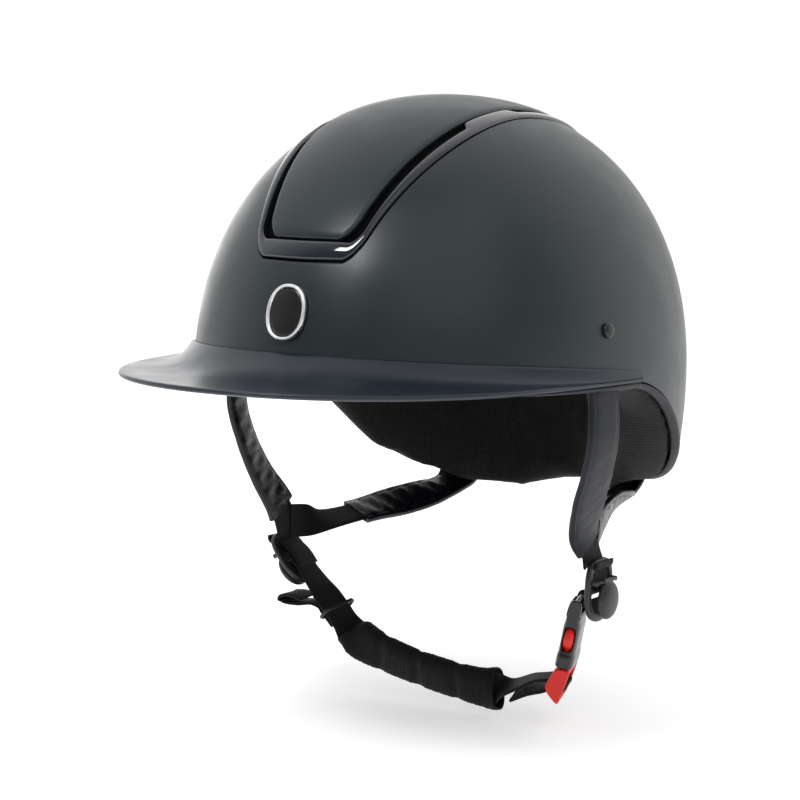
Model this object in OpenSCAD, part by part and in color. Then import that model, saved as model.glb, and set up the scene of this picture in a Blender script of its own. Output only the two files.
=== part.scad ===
// Equestrian riding helmet: a wide-brimmed shell, a foam liner, textile pads and a four-point harness.
// The origin is on the axis of the head, at the widest level of the dome.
// +Z is up, -Y is the wearer's front and +X is the wearer's left.

/* [Shell] */
// Length of the shell, front to back
shell_len = 276; // [266:1:290]
// Width of the shell, side to side
shell_w = 217; // [212:1:226]
// Height of the crown above the widest level
crown_h = 134; // [128:1:142]
// Wall of the moulded shell
shell_t = 3.6; // [3.4:0.1:4]
// Height of the shell's edge at the front and over the temples
rim_front_z = 6; // [3:1:8]
// Height of the shell's edge at the nape
rim_rear_z = -55; // [-60:1:-50]

/* [Brim] */
// Reach of the brim in front of the shell
brim_reach = 56; // [40:1:66]
// Height of the brim's outer edge
brim_edge_z = 7.8; // [6.4:0.1:9]
// Height of the brim's seam on the shell at the front
brim_seam_z = 19; // [16:1:22]
// Thickness of the brim
brim_t = 2.4; // [2:0.1:3]

/* [Panel and trim] */
// Half-width of the trim frame over the crown
trim_half_w = 45; // [42:1:48]
// Half-width of the centre panel over the crown
panel_half_w = 36.5; // [34:0.5:38]
// Height of the trim frame's front bar, measured along Y
trim_bar = 3.9; // [3:0.1:5]
// Width of the ventilation gap beside the panel
vent_gap = 4.2; // [3.6:0.1:4.6]

/* [Badge] */
// Width of the plain oval badge
badge_w = 20; // [16:1:22]
// Height of the plain oval badge
badge_h = 25; // [20:1:27]

/* [Liner] */
// Depth of the foam liner's inner face below the outside of the shell
foam_in = 24; // [22:1:25]
// Thickness of the textile pads
pad_t = 5.5; // [4:0.5:7]

/* [Harness] */
// Width of the leatherette sleeves
sleeve_w = 24; // [22:0.5:25]
// Width of the webbing in the sleeves
web_w = 17; // [15:0.5:17.5]
// Thickness of the webbing
web_t = 1.4; // [1.2:0.1:1.5]
// Width of the strap dividers
divider_w = 24; // [23:0.5:26]
// Depth of the dividers' round foot below their middle bar
divider_foot = 3; // [2:0.5:4]
// Diameter of the cam discs
cam_d = 18; // [16:0.5:18]

/* [Buckle] */
// Width of the side-release buckle
buckle_w = 24; // [23:0.5:25]
// Thickness of the side-release buckle
buckle_t = 9; // [8.5:0.5:10]
// Length of the tongue inside the housing
insert_len = 22; // [20:1:23]

/* [Chin pad] */
// Height of the chin pad
chin_pad_h = 19; // [18:1:22]
// Thickness of the chin pad
chin_pad_t = 8.5; // [7:0.5:10]

/* [Hidden] */
$fn = 32;

// Exponents of the dome's side view and plan, and its taper below the widest level
dome_m = 2.17;
dome_n = 2.1;
dome_taper = 0.16;

// Colours of the finishes
matt_navy = [0.22, 0.26, 0.29];
gloss_navy = [0.10, 0.12, 0.17];
foam_black = [0.07, 0.07, 0.07];
textile_black = [0.12, 0.13, 0.12];
hide_navy = [0.21, 0.23, 0.27];
webbing_black = [0.08, 0.08, 0.08];
plastic_black = [0.13, 0.13, 0.13];
plastic_red = [0.80, 0.14, 0.12];
chrome = [0.85, 0.85, 0.86];

// Azimuth and height of the strap anchors: 0 is the front and 90 is the wearer's left
front_anchor = [76, 30];
rear_anchor = [149, -25];
// Depth of the straps' middle under the outside of the shell
strap_depth = 7.8;

// Ends of the trim frame and of the panel along Y, before their corners are bowed back
trim_y0 = -126.8;
trim_y1 = 104;
panel_y0 = trim_y0 + trim_bar + 0.5;
panel_y1 = trim_y1 - trim_bar - 0.5;
// Station along Y where the trim and the panel are widest
widest_y = -16;
// Y stations where the ventilation gaps start and stop
front_gap = [-140, -58];
rear_gap = [-18, 46];
// How far the panel and the trim stand out of the shell and go into its recess
trim_rise = 1.2;
trim_sink = -1.7;
recess_floor = -2.2;

// Swing axis of the chin strap, along the top bar of the right divider
swing = [-94, -3, -90];
right_divider_tilt = 40;
// Distance from a divider's middle to its top bar
bar_up = 13;
bar_r = 1.6;
loop_r = bar_r + 0.4 + web_t / 2;
left_divider = [85.6, 2, -95];
right_divider = swing + bar_up * [sin(right_divider_tilt), 0, -cos(right_divider_tilt)];

// Mouth of the buckle, with its axis square to the line from the swing axis to mid-insertion
mouth = [71, 0.5, -132];
swing_dx = mouth[0] - swing[0];
swing_dz = swing[2] - mouth[2];
buckle_tilt = atan2(swing_dz, swing_dx) - asin((insert_len / 2) / norm([swing_dx, swing_dz]));
// Bars that hold the webbing, above and below the mouth along the buckle's axis
housing_bar = 31;
tongue_bar = -10;
// Turn of the buckle about its own axis, towards the wearer's front
buckle_yaw = 17;

// ---------- Dome ----------

function spow(v, e) = sign(v) * pow(abs(v), e);
function lerp(a, b, u) = a + (b - a) * u;
function clamp01(u) = max(0, min(1, u));
function smooth(u) = let (q = clamp01(u)) q * q * (3 - 2 * q);
function unit(v) = v / norm(v);

// Radius factor at height z of the dome moved out by d
function radius_at(z, d) = z < 0
    ? 1 - dome_taper * pow(z / 100, 2)
    : pow(max(0, 1 - pow(z / (crown_h + d), dome_m)), 1 / dome_m);

// Point at azimuth a and height z, with the half-axes moved out by d
function ring_pt(a, d, z) = let (r = radius_at(z, d)) [
    (shell_w / 2 + d) * r * spow(sin(a), 2 / dome_n),
    -(shell_len / 2 + d) * r * spow(cos(a), 2 / dome_n),
    z
];

// Outward normal of the dome at a point on it
function dome_normal(p) = let (
    x = p[0] / (shell_w / 2),
    y = p[1] / (shell_len / 2),
    z = max(0, p[2]) / crown_h,
    rho = pow(pow(abs(x), dome_n) + pow(abs(y), dome_n), 1 / dome_n),
    k = pow(max(rho, 0.001), dome_m - dome_n)
) unit([
    k * spow(x, dome_n - 1) / (shell_w / 2),
    k * spow(y, dome_n - 1) / (shell_len / 2),
    pow(z, dome_m - 1) / crown_h
]);

// Point on the upper dome over plan position x, y, moved out along the normal by d
function over(x, y, d) = let (
    rho_n = pow(abs(x) / (shell_w / 2), dome_n) + pow(abs(y) / (shell_len / 2), dome_n),
    z = crown_h * pow(max(0, 1 - pow(rho_n, dome_m / dome_n)), 1 / dome_m),
    p = [x, y, z]
) p + d * dome_normal(p);

// Stations across the panel are bowed so that its front edge keeps one height
function bowed(x, y, d) = over(x, y * (1 - 0.000044 * x * x), d);

// Height of the shell's edge at azimuth a: high over the temples and low at the nape
function rim_z(a) = let (y = -(shell_len / 2) * spow(cos(a), 2 / dome_n))
    lerp(rim_front_z, rim_rear_z, smooth((y + 15) / 140));

// Row coordinate of height z: 0 at the widest level and 1 at the crown
function row_of(z) = z < 0 ? z / crown_h : asin(pow(z / crown_h, dome_m / 2)) / 90;
function row_z(t, d) = t < 0 ? t * crown_h : (crown_h + d) * pow(sin(90 * t), 2 / dome_m);

// ---------- Meshes ----------

// Faces of a tube of rings, each of m points; a closed tube joins its last ring to its first
function tube_faces(count, m, closed) = [
    for (i = [0 : count - (closed ? 1 : 2)], j = [0 : m - 1])
        let (a = i * m, b = ((i + 1) % count) * m, k = (j + 1) % m)
            each [[a + j, b + j, b + k], [a + j, b + k, a + k]]
];
function tube_caps(count, m) = [
    [for (j = [0 : m - 1]) j],
    [for (j = [m - 1 : -1 : 0]) (count - 1) * m + j]
];

// Solid through a list of rings
module loft(rings, closed = false) {
    m = len(rings[0]);
    count = len(rings);
    polyhedron(
        points = [for (r = rings, p = r) p],
        faces = concat(tube_faces(count, m, closed), closed ? [] : tube_caps(count, m)),
        convexity = 8
    );
}

// Wall between two lofts whose rings have the same number of points
module hollow_loft(outer, inner) {
    m = len(outer[0]);
    count = len(outer);
    base = m * count;
    flipped = [for (f = tube_faces(count, m, false)) [f[0] + base, f[2] + base, f[1] + base]];
    ends = [
        for (j = [0 : m - 1])
            let (k = (j + 1) % m, e = (count - 1) * m)
                each [
                    [j, k, base + k], [j, base + k, base + j],
                    [e + k, e + j, base + e + j], [e + k, base + e + j, base + e + k]
                ]
    ];
    polyhedron(
        points = [for (s = [outer, inner], r = s, p = r) p],
        faces = concat(tube_faces(count, m, false), flipped, ends),
        convexity = 10
    );
}

// Band round the dome from azimuth a0 to a1, with section profile(a) given as [d, z] points
module ring_band(sections, closed = false) {
    loft([for (s = sections) [for (q = s[1]) ring_pt(s[0], q[0], q[1])]], closed);
}
function azimuths(a0, a1, steps) = [for (i = [0 : steps]) lerp(a0, a1, i / steps)];

// Depth of the two pairs of strap pockets in the outside of the foam at azimuth a and height z
function pocket(a, z) = let (
    s = abs(a > 180 ? a - 360 : a),
    front = abs(s - front_anchor[0]) < 14 && z < front_anchor[1] + 38,
    rear = abs(s - rear_anchor[0]) < 14 && z < rear_anchor[1] + 38
) front || rear ? 7 : 0;

// Dome wall between depths d_out and d_in, from lift above the shell's edge to the crown
module dome_wall(d_out, d_in, lift, columns, rows, pockets = false) {
    last = columns * rows;
    outer = [
        for (i = [0 : columns - 1], j = [0 : rows - 1])
            let (
                a = 360 * i / columns,
                t0 = row_of(rim_z(a) + lift),
                t = lerp(t0, 1, j / rows),
                d = d_out - (pockets ? pocket(a, row_z(t, 0)) : 0)
            ) ring_pt(a, d, row_z(t, d))
    ];
    inner = [
        for (i = [0 : columns - 1], j = [0 : rows - 1])
            let (a = 360 * i / columns, t0 = row_of(rim_z(a) + lift), t = lerp(t0, 1, j / rows))
                ring_pt(a, d_in, row_z(t, d_in))
    ];
    tops = [[0, 0, crown_h + d_out], [0, 0, crown_h + d_in]];
    walls = [
        for (i = [0 : columns - 1], j = [0 : rows - 2])
            let (a = i * rows + j, b = ((i + 1) % columns) * rows + j, c = last)
                each [
                    [a, b + 1, b], [a, a + 1, b + 1],
                    [c + a, c + b, c + b + 1], [c + a, c + b + 1, c + a + 1]
                ]
    ];
    edges = [
        for (i = [0 : columns - 1])
            let (
                a = i * rows, b = ((i + 1) % columns) * rows,
                e = a + rows - 1, f = b + rows - 1, c = last
            )
                each [
                    [a, b, c + b], [a, c + b, c + a],
                    [e, 2 * c, f], [c + e, c + f, 2 * c + 1]
                ]
    ];
    polyhedron(points = concat(outer, inner, tops), faces = concat(walls, edges), convexity = 10);
}

// ---------- Panel and trim outlines ----------

function front_share(y, y0) = clamp01((widest_y - y) / (widest_y - y0));
function rear_share(y, y1) = clamp01((y - widest_y) / (y1 - widest_y));
function trim_half(y) = trim_half_w - 19 * pow(front_share(y, trim_y0), 3)
    - 15 * pow(rear_share(y, trim_y1), 2.4);
function panel_half(y) = panel_half_w - 15 * pow(front_share(y, panel_y0), 2.6)
    - 13 * pow(rear_share(y, panel_y1), 2.4);

// Half-width w at a distance g from an end whose corners have radius r
function rounded(w, r, g) = g >= r ? w : w - r + sqrt(max(0, r * r - (r - g) * (r - g)));
// Stations crowd towards both ends, where the corners are
function eased(i, count) = (1 - cos(180 * i / count)) / 2;
function in_gap(y) = (y > front_gap[0] && y < front_gap[1]) || (y > rear_gap[0] && y < rear_gap[1]);
function trim_inner(y) = panel_half(y) + (in_gap(y) ? vent_gap : 0.6);

// Closed patch of the dome with half-width half[i] at station ys[i]
module patch(ys, half, d_low, d_high, edge_drop, across) {
    n_rows = len(ys);
    function edge(i, j) = i == 0 || i == n_rows - 1 || j == 0 || j == across;
    upper = [
        for (i = [0 : n_rows - 1], j = [0 : across])
            bowed(half[i] * (2 * j / across - 1), ys[i], d_high - (edge(i, j) ? edge_drop : 0))
    ];
    lower = [
        for (i = [0 : n_rows - 1], j = [0 : across])
            bowed(half[i] * (2 * j / across - 1), ys[i], d_low)
    ];
    w = across + 1;
    c = w * n_rows;
    top = [
        for (i = [0 : n_rows - 2], j = [0 : across - 1])
            let (a = i * w + j, b = a + w)
                each [
                    [a, b, b + 1], [a, b + 1, a + 1],
                    [c + a, c + b + 1, c + b], [c + a, c + a + 1, c + b + 1]
                ]
    ];
    sides = [
        for (i = [0 : n_rows - 2])
            let (a = i * w, b = a + w, e = a + across, f = e + w)
                each [
                    [a, c + a, c + b], [a, c + b, b],
                    [e, f, c + f], [e, c + f, c + e]
                ]
    ];
    ends = [
        for (j = [0 : across - 1])
            let (e = (n_rows - 1) * w + j)
                each [
                    [j, j + 1, c + j + 1], [j, c + j + 1, c + j],
                    [e, c + e, c + e + 1], [e, c + e + 1, e + 1]
                ]
    ];
    polyhedron(points = concat(upper, lower), faces = concat(top, sides, ends), convexity = 6);
}

panel_rows = 22;
panel_ys = [for (i = [0 : panel_rows]) lerp(panel_y0, panel_y1, eased(i, panel_rows))];
panel_halves = [for (y = panel_ys) rounded(panel_half(y), 6, min(y - panel_y0, panel_y1 - y))];
recess_ys = [for (i = [0 : panel_rows]) lerp(trim_y0 - 0.7, trim_y1 + 0.7, eased(i, panel_rows))];
recess_halves = [
    for (y = recess_ys) rounded(trim_half(y) + 0.7, 6.5, min(y - trim_y0, trim_y1 - y) + 0.7)
];

// ---------- Straps ----------

// Catmull-Rom curve through points or directions at parameter u
function spline(p, u) = let (
    n = len(p) - 1,
    i = min(floor(u), n - 1),
    f = u - i,
    a = p[max(i - 1, 0)], b = p[i], c = p[i + 1], d = p[min(i + 2, n)]
) 0.5 * (2 * b + (c - a) * f + (2 * a - 5 * b + 4 * c - d) * f * f
    + (3 * b - a - 3 * c + d) * f * f * f);

// Flat section of a strap at u: points across its width w and thickness t
function strap_ring(path, across, u, w, t) = let (
    n = len(path) - 1,
    here = spline(path, u),
    along = unit(spline(path, min(u + 0.02, n)) - spline(path, max(u - 0.02, 0))),
    guide = spline(across, u),
    side = unit(guide - (guide * along) * along),
    up = cross(along, side),
    bevel = min(t * 0.45, 1.4)
) [
    for (q = [
        [-w / 2, 0], [-w / 2 + bevel, -t / 2], [w / 2 - bevel, -t / 2],
        [w / 2, 0], [w / 2 - bevel, t / 2], [-w / 2 + bevel, t / 2]
    ]) here + q[0] * side + q[1] * up
];
function strap_rings(path, across, u0, u1, steps, w, t) = [
    for (i = [0 : steps]) strap_ring(path, across, lerp(u0, u1, i / steps), w, t)
];
module strap(path, across, u0, u1, steps, w, t) {
    loft(strap_rings(path, across, u0, u1, steps, w, t));
}
module sleeve(path, across, u0, u1, steps) {
    hollow_loft(
        strap_rings(path, across, u0, u1, steps, sleeve_w, web_t + 2.6),
        strap_rings(path, across, u0, u1, steps, web_w + 1.6, web_t + 1.2)
    );
}

// Points of a loop round a bar that runs along Y; side is 1 on the wearer's left
function bar_loop(bar, side, from, to, step) = [
    for (q = [from : step : to]) bar + loop_r * [-side * cos(q), 0, -sin(q)]
];
left_bar = left_divider + [0, 0, bar_up];

// Route of a strap inside the shell, down to its edge
function under_shell(azimuth, levels) = [for (z = levels) ring_pt(azimuth, -strap_depth, z)];

// Routes of the harness straps, from the anchor inside the shell to the divider
front_left_path = concat(
    under_shell(front_anchor[0], [44, 24, 2]),
    [
        [101.5, -32.5, -19], [98.5, -27, -35], [90, -17, -51], [81, -5, -67], [81.3, 1, -77]
    ],
    bar_loop(left_bar, 1, 0, 200, 40)
);
front_left_across = [
    [0.18, 0.98, 0], [0.18, 0.98, 0], [0.18, 0.98, 0], [0.12, 0.98, 0], [0.34, 0.94, 0], [0.3, 0.95, 0],
    [0.1, 1, 0.1], [0, 1, 0], for (q = [0 : 40 : 200]) [0, 1, 0]
];
front_right_path = concat(
    under_shell(-front_anchor[0], [44, 24, 2]),
    [
        [-101, -34, -18], [-99, -30, -38], [-95.5, -21, -56], [-91.5, -10, -72], [-90.6, -4, -84]
    ],
    bar_loop(swing, -1, 0, 200, 40)
);
front_right_across = [
    [-0.18, 0.98, 0], [-0.18, 0.98, 0], [-0.2, 0.98, 0], [-0.28, 0.96, 0], [-0.28, 0.96, 0],
    [-0.2, 0.98, 0.05],
    [-0.07, 1, 0.05], [0, 1, 0], for (q = [0 : 40 : 200]) [0, 1, 0]
];
rear_left_path = concat(
    under_shell(rear_anchor[0], [-16, -36, -54]),
    [
        [54, 93, -65], [61, 72, -65], [67, 50, -65.5], [72, 28, -69.5],
        [75.4, 10, -76.5], [76.9, 2, -79.5]
    ]
);
rear_left_across = [
    [0.8, -0.6, 0], [0.8, -0.6, 0], [0.8, -0.6, 0], [1, -0.2, 0.3], [0.8, 0.2, 0.7],
    [0.4, 0.2, 0.9], [0.3, -0.3, 0.9], [0.2, -0.6, 0.8], [0, -0.1, 1]
];
rear_right_path = concat(
    under_shell(-rear_anchor[0], [-16, -36, -54]),
    [
        [-49, 95, -66.5], [-54, 75, -72], [-62.5, 56, -76], [-70, 36, -79],
        [-79, 15, -82], [-85.5, 5, -82], [-88.4, -4, -81.5]
    ]
);
rear_right_across = [
    [0.8, 0.6, 0], [0.8, 0.6, 0], [0.8, 0.6, 0], [0.95, 0.3, 0.1], [0.93, 0.1, -0.2],
    [0.9, -0.1, -0.35], [0.88, -0.25, -0.25], [0.8, -0.3, -0.4], [0.4, 0, -0.9],
    [0.1, 0.1, -1]
];

// Turns a place in the buckle's frame, whose z runs along its axis from the mouth, into a place
function turn_buckle(v) = let (
    x = v[0] * cos(buckle_yaw) - v[1] * sin(buckle_yaw),
    y = v[0] * sin(buckle_yaw) + v[1] * cos(buckle_yaw)
) [x * cos(buckle_tilt) + v[2] * sin(buckle_tilt), y, v[2] * cos(buckle_tilt) - x * sin(buckle_tilt)];
function on_buckle(x, y, z) = mouth + turn_buckle([x, y, z]);
across_buckle = turn_buckle([0, 1, 0]);
// Turns a place on the tilted right divider, w inwards and v upwards, into a place
function on_right_divider(w, v) = right_divider + [
    w * cos(right_divider_tilt) - v * sin(right_divider_tilt), 0,
    w * sin(right_divider_tilt) + v * cos(right_divider_tilt)
];

// Webbing from the left divider's middle bar to the top bar of the buckle
lower_left_path = concat(
    [for (q = [180 : -40 : 20]) left_divider + loop_r * [-cos(q), 0, sin(q)]],
    [[81.3, 1.6, -96.5]],
    [for (q = [-20 : 40 : 180]) on_buckle(loop_r * cos(q), 0, housing_bar - loop_r * sin(q))]
);
lower_left_across = [
    for (i = [0 : 4]) [0, 1, 0],
    [-0.1, 0.99, 0], [-0.2, 0.98, 0], for (i = [7 : 11]) across_buckle
];

// Webbing from the right divider's middle bar through the chin pad to the tongue's bar
chin_path = concat(
    [for (q = [200 : -40 : 0]) on_right_divider(loop_r * cos(q), loop_r * sin(q))],
    [
        on_right_divider(3.1, -8), [-70.5, -4, -111], [-64, -4.5, -117], [-57.5, -5, -123],
        [-51.5, -5, -129.5], [-44, -5, -136], [-26, -5, -142], [0, -5, -147], [28, -4.5, -150],
        [42, -4.2, -148], [56, -3.2, -141.5]
    ],
    [for (q = [60 : 40 : 140]) on_buckle(-loop_r * cos(q), 0, tongue_bar + loop_r * sin(q))]
);
chin_across = [
    for (i = [0 : 6]) [0, 1, 0],
    [0.08, 0.98, 0.1], [0.2, 0.95, 0.25], [0.2, 0.95, 0.25], [0.2, 0.85, 0.3], [0.2, 0.2, 0.8],
    [0.1, -0.35, 0.92], [0, -0.45, 0.9], [0, -0.3, 0.95], [0.1, 0.6, 0.65], [-0.25, 0.95, 0.1],
    for (i = [0 : 2]) across_buckle
];
chin_pad_span = [10.8, 14.6];
keeper_at = 9;

adjuster_path = concat(
    [for (q = [160 : 40 : 320]) on_buckle(-loop_r * cos(q), 0, tongue_bar + loop_r * sin(q))],
    [[60.5, -2.2, -145.6], [53, -3.6, -147.6], [46, -4, -150.5]]
);
adjuster_across = [
    for (i = [0 : 4]) across_buckle,
    [-0.25, 0.95, 0.05], [0, 0.9, 0.3], [0.05, 0.75, 0.5]
];

// The free end runs back through the keeper behind the chin webbing and is folded on itself
tail_path = [
    [-54.4, -4.3, -129.2], [-59, -4.3, -124.6], [-63.3, -4.3, -121.2], [-68.5, -5.5, -120.2],
    [-76, -7, -121.6], [-83, -8, -121.3], [-85.6, -8.5, -119.4], [-83.5, -9, -117.6],
    [-78.5, -9, -117.2], [-73.5, -8.5, -118.4]
];
tail_across = [
    [0.2, 0.95, 0.25], [0.2, 0.95, 0.25], [0.2, 0.95, 0.2], [0.1, 1, 0.1],
    for (i = [4 : 9]) [0, 1, 0]
];

// ---------- Shell ----------

module on_normal(p) {
    n = dome_normal(p);
    translate(p) rotate([0, acos(n[2]), atan2(n[1], n[0])]) children();
}
module at_anchor(anchor, side) {
    on_normal(ring_pt(side * anchor[0], 0, anchor[1])) children();
}
// Slot through the shell under a ventilation gap, from station y0 to y1
module vent_slot(side, y0, y1, steps) {
    for (i = [0 : steps - 1]) {
        hull() {
            for (k = [i, i + 1]) {
                y = lerp(y0, y1, k / steps);
                on_normal(bowed(side * (panel_half(y) + vent_gap / 2), y, 0))
                    cylinder(h = 12, d = vent_gap - 0.4, center = true, $fn = 12);
            }
        }
    }
}
module outer_shell() {
    color(matt_navy) difference() {
        dome_wall(0, -shell_t, 0, 60, 15);
        patch(recess_ys, recess_halves, recess_floor, 6, 0, 10);
        for (side = [-1, 1]) {
            vent_slot(side, panel_y0 + 8, front_gap[1] - 3, 4);
            vent_slot(side, rear_gap[0] + 3, rear_gap[1] - 3, 4);
            for (anchor = [front_anchor, rear_anchor])
                at_anchor(anchor, side) cylinder(h = 20, r = 2.1, center = true, $fn = 16);
        }
    }
}
module eps_liner() {
    color(foam_black) dome_wall(-shell_t - 0.8, -foam_in, 3, 72, 9, true);
}

module centre_panel() {
    color(matt_navy) patch(panel_ys, panel_halves, trim_sink, trim_rise, 0.7, 10);
}

// The trim is one closed loft: its section runs from the outer to the inner outline of the frame
module trim_frame() {
    count = 34;
    bar_steps = 3;
    inner_y0 = trim_y0 + trim_bar;
    inner_y1 = trim_y1 - trim_bar;
    function station(side, i) = let (
        yo = lerp(trim_y0, trim_y1, eased(i, count)),
        yi = lerp(inner_y0, inner_y1, eased(i, count)),
        wo = rounded(trim_half(yo), 6, min(yo - trim_y0, trim_y1 - yo)),
        wi = rounded(trim_inner(yi), 4, min(yi - inner_y0, inner_y1 - yi))
    ) section(side * wo, yo, side * wi, yi);
    function section(xo, yo, xi, yi) = [
        bowed(xo, yo, trim_sink),
        bowed(xo, yo, trim_rise * 0.2),
        bowed(lerp(xo, xi, 0.25), lerp(yo, yi, 0.25), trim_rise),
        bowed(lerp(xo, xi, 0.8), lerp(yo, yi, 0.8), trim_rise),
        bowed(xi, yi, trim_rise * 0.5),
        bowed(xi, yi, trim_sink)
    ];
    function bar(y_out, y_in, i, flip) = let (
        u = flip * (1 - 2 * i / (bar_steps + 1)),
        wo = trim_half(y_out) - 6,
        wi = trim_inner(y_in) - 4
    ) section(u * wo, y_out, u * wi, y_in);
    color(gloss_navy) loft(
        concat(
            [for (i = [0 : count]) station(-1, i)],
            [for (i = [1 : bar_steps]) bar(trim_y1, inner_y1, i, -1)],
            [for (i = [count : -1 : 0]) station(1, i)],
            [for (i = [1 : bar_steps]) bar(trim_y0, inner_y0, i, 1)]
        ),
        true
    );
}

// Top of the brim above its edge: a collar that sweeps out of the shell into a flat peak
module brim() {
    end_a = 86;
    function reach(a) = 2.5 + (brim_reach - 2.5) * pow(cos(a), 2.55);
    function seam(a) = lerp(brim_edge_z + 0.6, brim_seam_z, pow(cos(a), 0.6));
    function top_z(a, f) = brim_edge_z + (seam(a) - 0.4 - brim_edge_z) * pow(1 - f, 5);
    function along(a, f) = lerp(1.9, reach(a), f);
    function profile(a) = concat(
        [[0.6, seam(a)], [1.9, seam(a) - 0.4]],
        [for (f = [0.05, 0.13, 0.26, 0.5, 0.8]) [along(a, f), top_z(a, f)]],
        [[along(a, 1), brim_edge_z - 0.2], [along(a, 0.99), brim_edge_z - brim_t + 0.6]],
        [for (f = [0.92, 0.5, 0.2]) [along(a, f), top_z(a, f) - brim_t]],
        [[0.6, top_z(a, 0.13) - brim_t]]
    );
    color(matt_navy) ring_band([for (a = azimuths(-end_a, end_a, 52)) [a, profile(a)]]);
}

// Soft bead that closes the edge of the shell
module rim_trim() {
    function profile(a) = let (z = rim_z(a)) [
        [-3.9, z - 0.7], [-3.3, z - 2.6], [-0.4, z - 2.9], [0.5, z - 1.3], [0.1, z - 0.7]
    ];
    color(hide_navy) ring_band([for (i = [71 : -1 : 0]) [5 * i, profile(5 * i)]], true);
}

module badge_outline(inset) {
    polygon([
        for (q = [0 : 10 : 350])
            [(badge_h / 2 - inset) * spow(cos(q), 0.9), (badge_w / 2 - inset) * spow(sin(q), 0.9)]
    ]);
}
badge_at = ring_pt(0, 0, 36);
module badge_rim() {
    color(chrome) on_normal(badge_at) translate([0, 0, 0.4]) difference() {
        linear_extrude(2.2) badge_outline(0);
        translate([0, 0, -1]) linear_extrude(5) badge_outline(1.8);
    }
}
module badge_face() {
    color(plastic_black) on_normal(badge_at) translate([0, 0, 0.5])
        linear_extrude(1.1) badge_outline(2);
}

module rivet(anchor, side) {
    at_anchor(anchor, side) {
        translate([0, 0, 0.4]) cylinder(h = 0.8, r = 3.5);
        translate([0, 0, 1.2]) cylinder(h = 0.7, r1 = 3.5, r2 = 2.2);
        translate([0, 0, -10.5]) cylinder(h = 11, r = 1.6);
    }
}
module front_rivets() {
    color(plastic_black) for (side = [-1, 1]) rivet(front_anchor, side);
}
module rear_rivets() {
    color(plastic_black) for (side = [-1, 1]) rivet(rear_anchor, side);
}
module strap_washers() {
    color(chrome) for (side = [-1, 1], anchor = [front_anchor, rear_anchor])
        at_anchor(anchor, side) translate([0, 0, -10.3]) difference() {
            cylinder(h = 0.9, r = 5);
            translate([0, 0, -1]) cylinder(h = 3, r = 1.9);
        }
}

// ---------- Textile liner ----------

pad_out = -foam_in - 2;
pad_in = pad_out - pad_t;
module plain_pad(a0, a1, steps, low, high) {
    ring_band([
        for (a = azimuths(a0, a1, steps)) [a, [
            [pad_out, low], [pad_in + 1, low], [pad_in, low + 3], [pad_in, high - 3],
            [pad_in + 1, high], [pad_out, high]
        ]]
    ]);
}
module forehead_band() {
    color(textile_black) plain_pad(-74, 74, 24, 5, 42);
}
module side_pad_left() {
    color(textile_black) plain_pad(79, 103, 6, 0, 40);
}
module side_pad_right() {
    color(textile_black) plain_pad(-103, -79, 6, 0, 40);
}
// The nape pad lines the foam and turns under its edge, with a notch behind each rear strap
module nape_pad() {
    function notch(a) = smooth((18 - abs(abs(a - 180) - (180 - rear_anchor[0]))) / 6);
    function profile(a) = let (z = rim_z(a), k = notch(a)) [
        [pad_out, z + 1.2], [-12 - 5 * k, z + 1.2], [-11.5 - 6.5 * k, z - 3 + k],
        [-13.5 - 7 * k, z - 7 + 4 * k], [pad_in + 4, z - 8 + 3 * k],
        [pad_in, z - 4], [pad_in, 4], [pad_in + 1, 8], [pad_out, 8]
    ];
    color(textile_black) ring_band([for (a = azimuths(107, 253, 26)) [a, profile(a)]]);
}
module crown_pad() {
    columns = 30;
    rows = 4;
    t0 = 0.62;
    function ring(j, d) = [
        for (i = [0 : columns - 1])
            let (t = lerp(t0, 0.97, j / rows)) ring_pt(360 * i / columns, d, row_z(t, d))
    ];
    color(textile_black) loft(concat(
        [for (j = [0 : rows]) ring(j, pad_out)],
        [for (j = [rows : -1 : 0]) ring(j, pad_in)]
    ), true);
}
module hook_dots() {
    color(plastic_black) for (a = [-48, 0, 48, 130, 180, 230]) {
        z = a > 100 ? -18 : 24;
        p = ring_pt(a, -foam_in - 0.9, z);
        n = dome_normal(ring_pt(a, 0, z));
        translate(p) rotate([0, acos(n[2]), atan2(n[1], n[0])]) translate([0, 0, -0.9])
            cylinder(h = 0.7, r = 8);
    }
}

// ---------- Harness ----------

module anchored(anchor, side) {
    difference() {
        children();
        at_anchor(anchor, side) cylinder(h = 40, r = 1.9, center = true, $fn = 24);
    }
}
module front_webbing_left() {
    color(webbing_black) anchored(front_anchor, 1)
        strap(front_left_path, front_left_across, 0, 13, 52, web_w, web_t);
}
module front_webbing_right() {
    color(webbing_black) anchored(front_anchor, -1)
        strap(front_right_path, front_right_across, 0, 13, 52, web_w, web_t);
}
module rear_webbing_left() {
    color(webbing_black) anchored(rear_anchor, 1)
        strap(rear_left_path, rear_left_across, 0, 8, 28, web_w, web_t);
}
module rear_webbing_right() {
    color(webbing_black) anchored(rear_anchor, -1)
        strap(rear_right_path, rear_right_across, 0, 9, 32, web_w, web_t);
}
module front_sleeve_left() {
    color(hide_navy) sleeve(front_left_path, front_left_across, 1.8, 6.6, 18);
}
module front_sleeve_right() {
    color(hide_navy) sleeve(front_right_path, front_right_across, 1.8, 6.2, 18);
}
module rear_sleeve_left() {
    color(hide_navy) sleeve(rear_left_path, rear_left_across, 1.6, 6.4, 18);
}
module rear_sleeve_right() {
    color(hide_navy) sleeve(rear_right_path, rear_right_across, 1.6, 6.2, 18);
}

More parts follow.
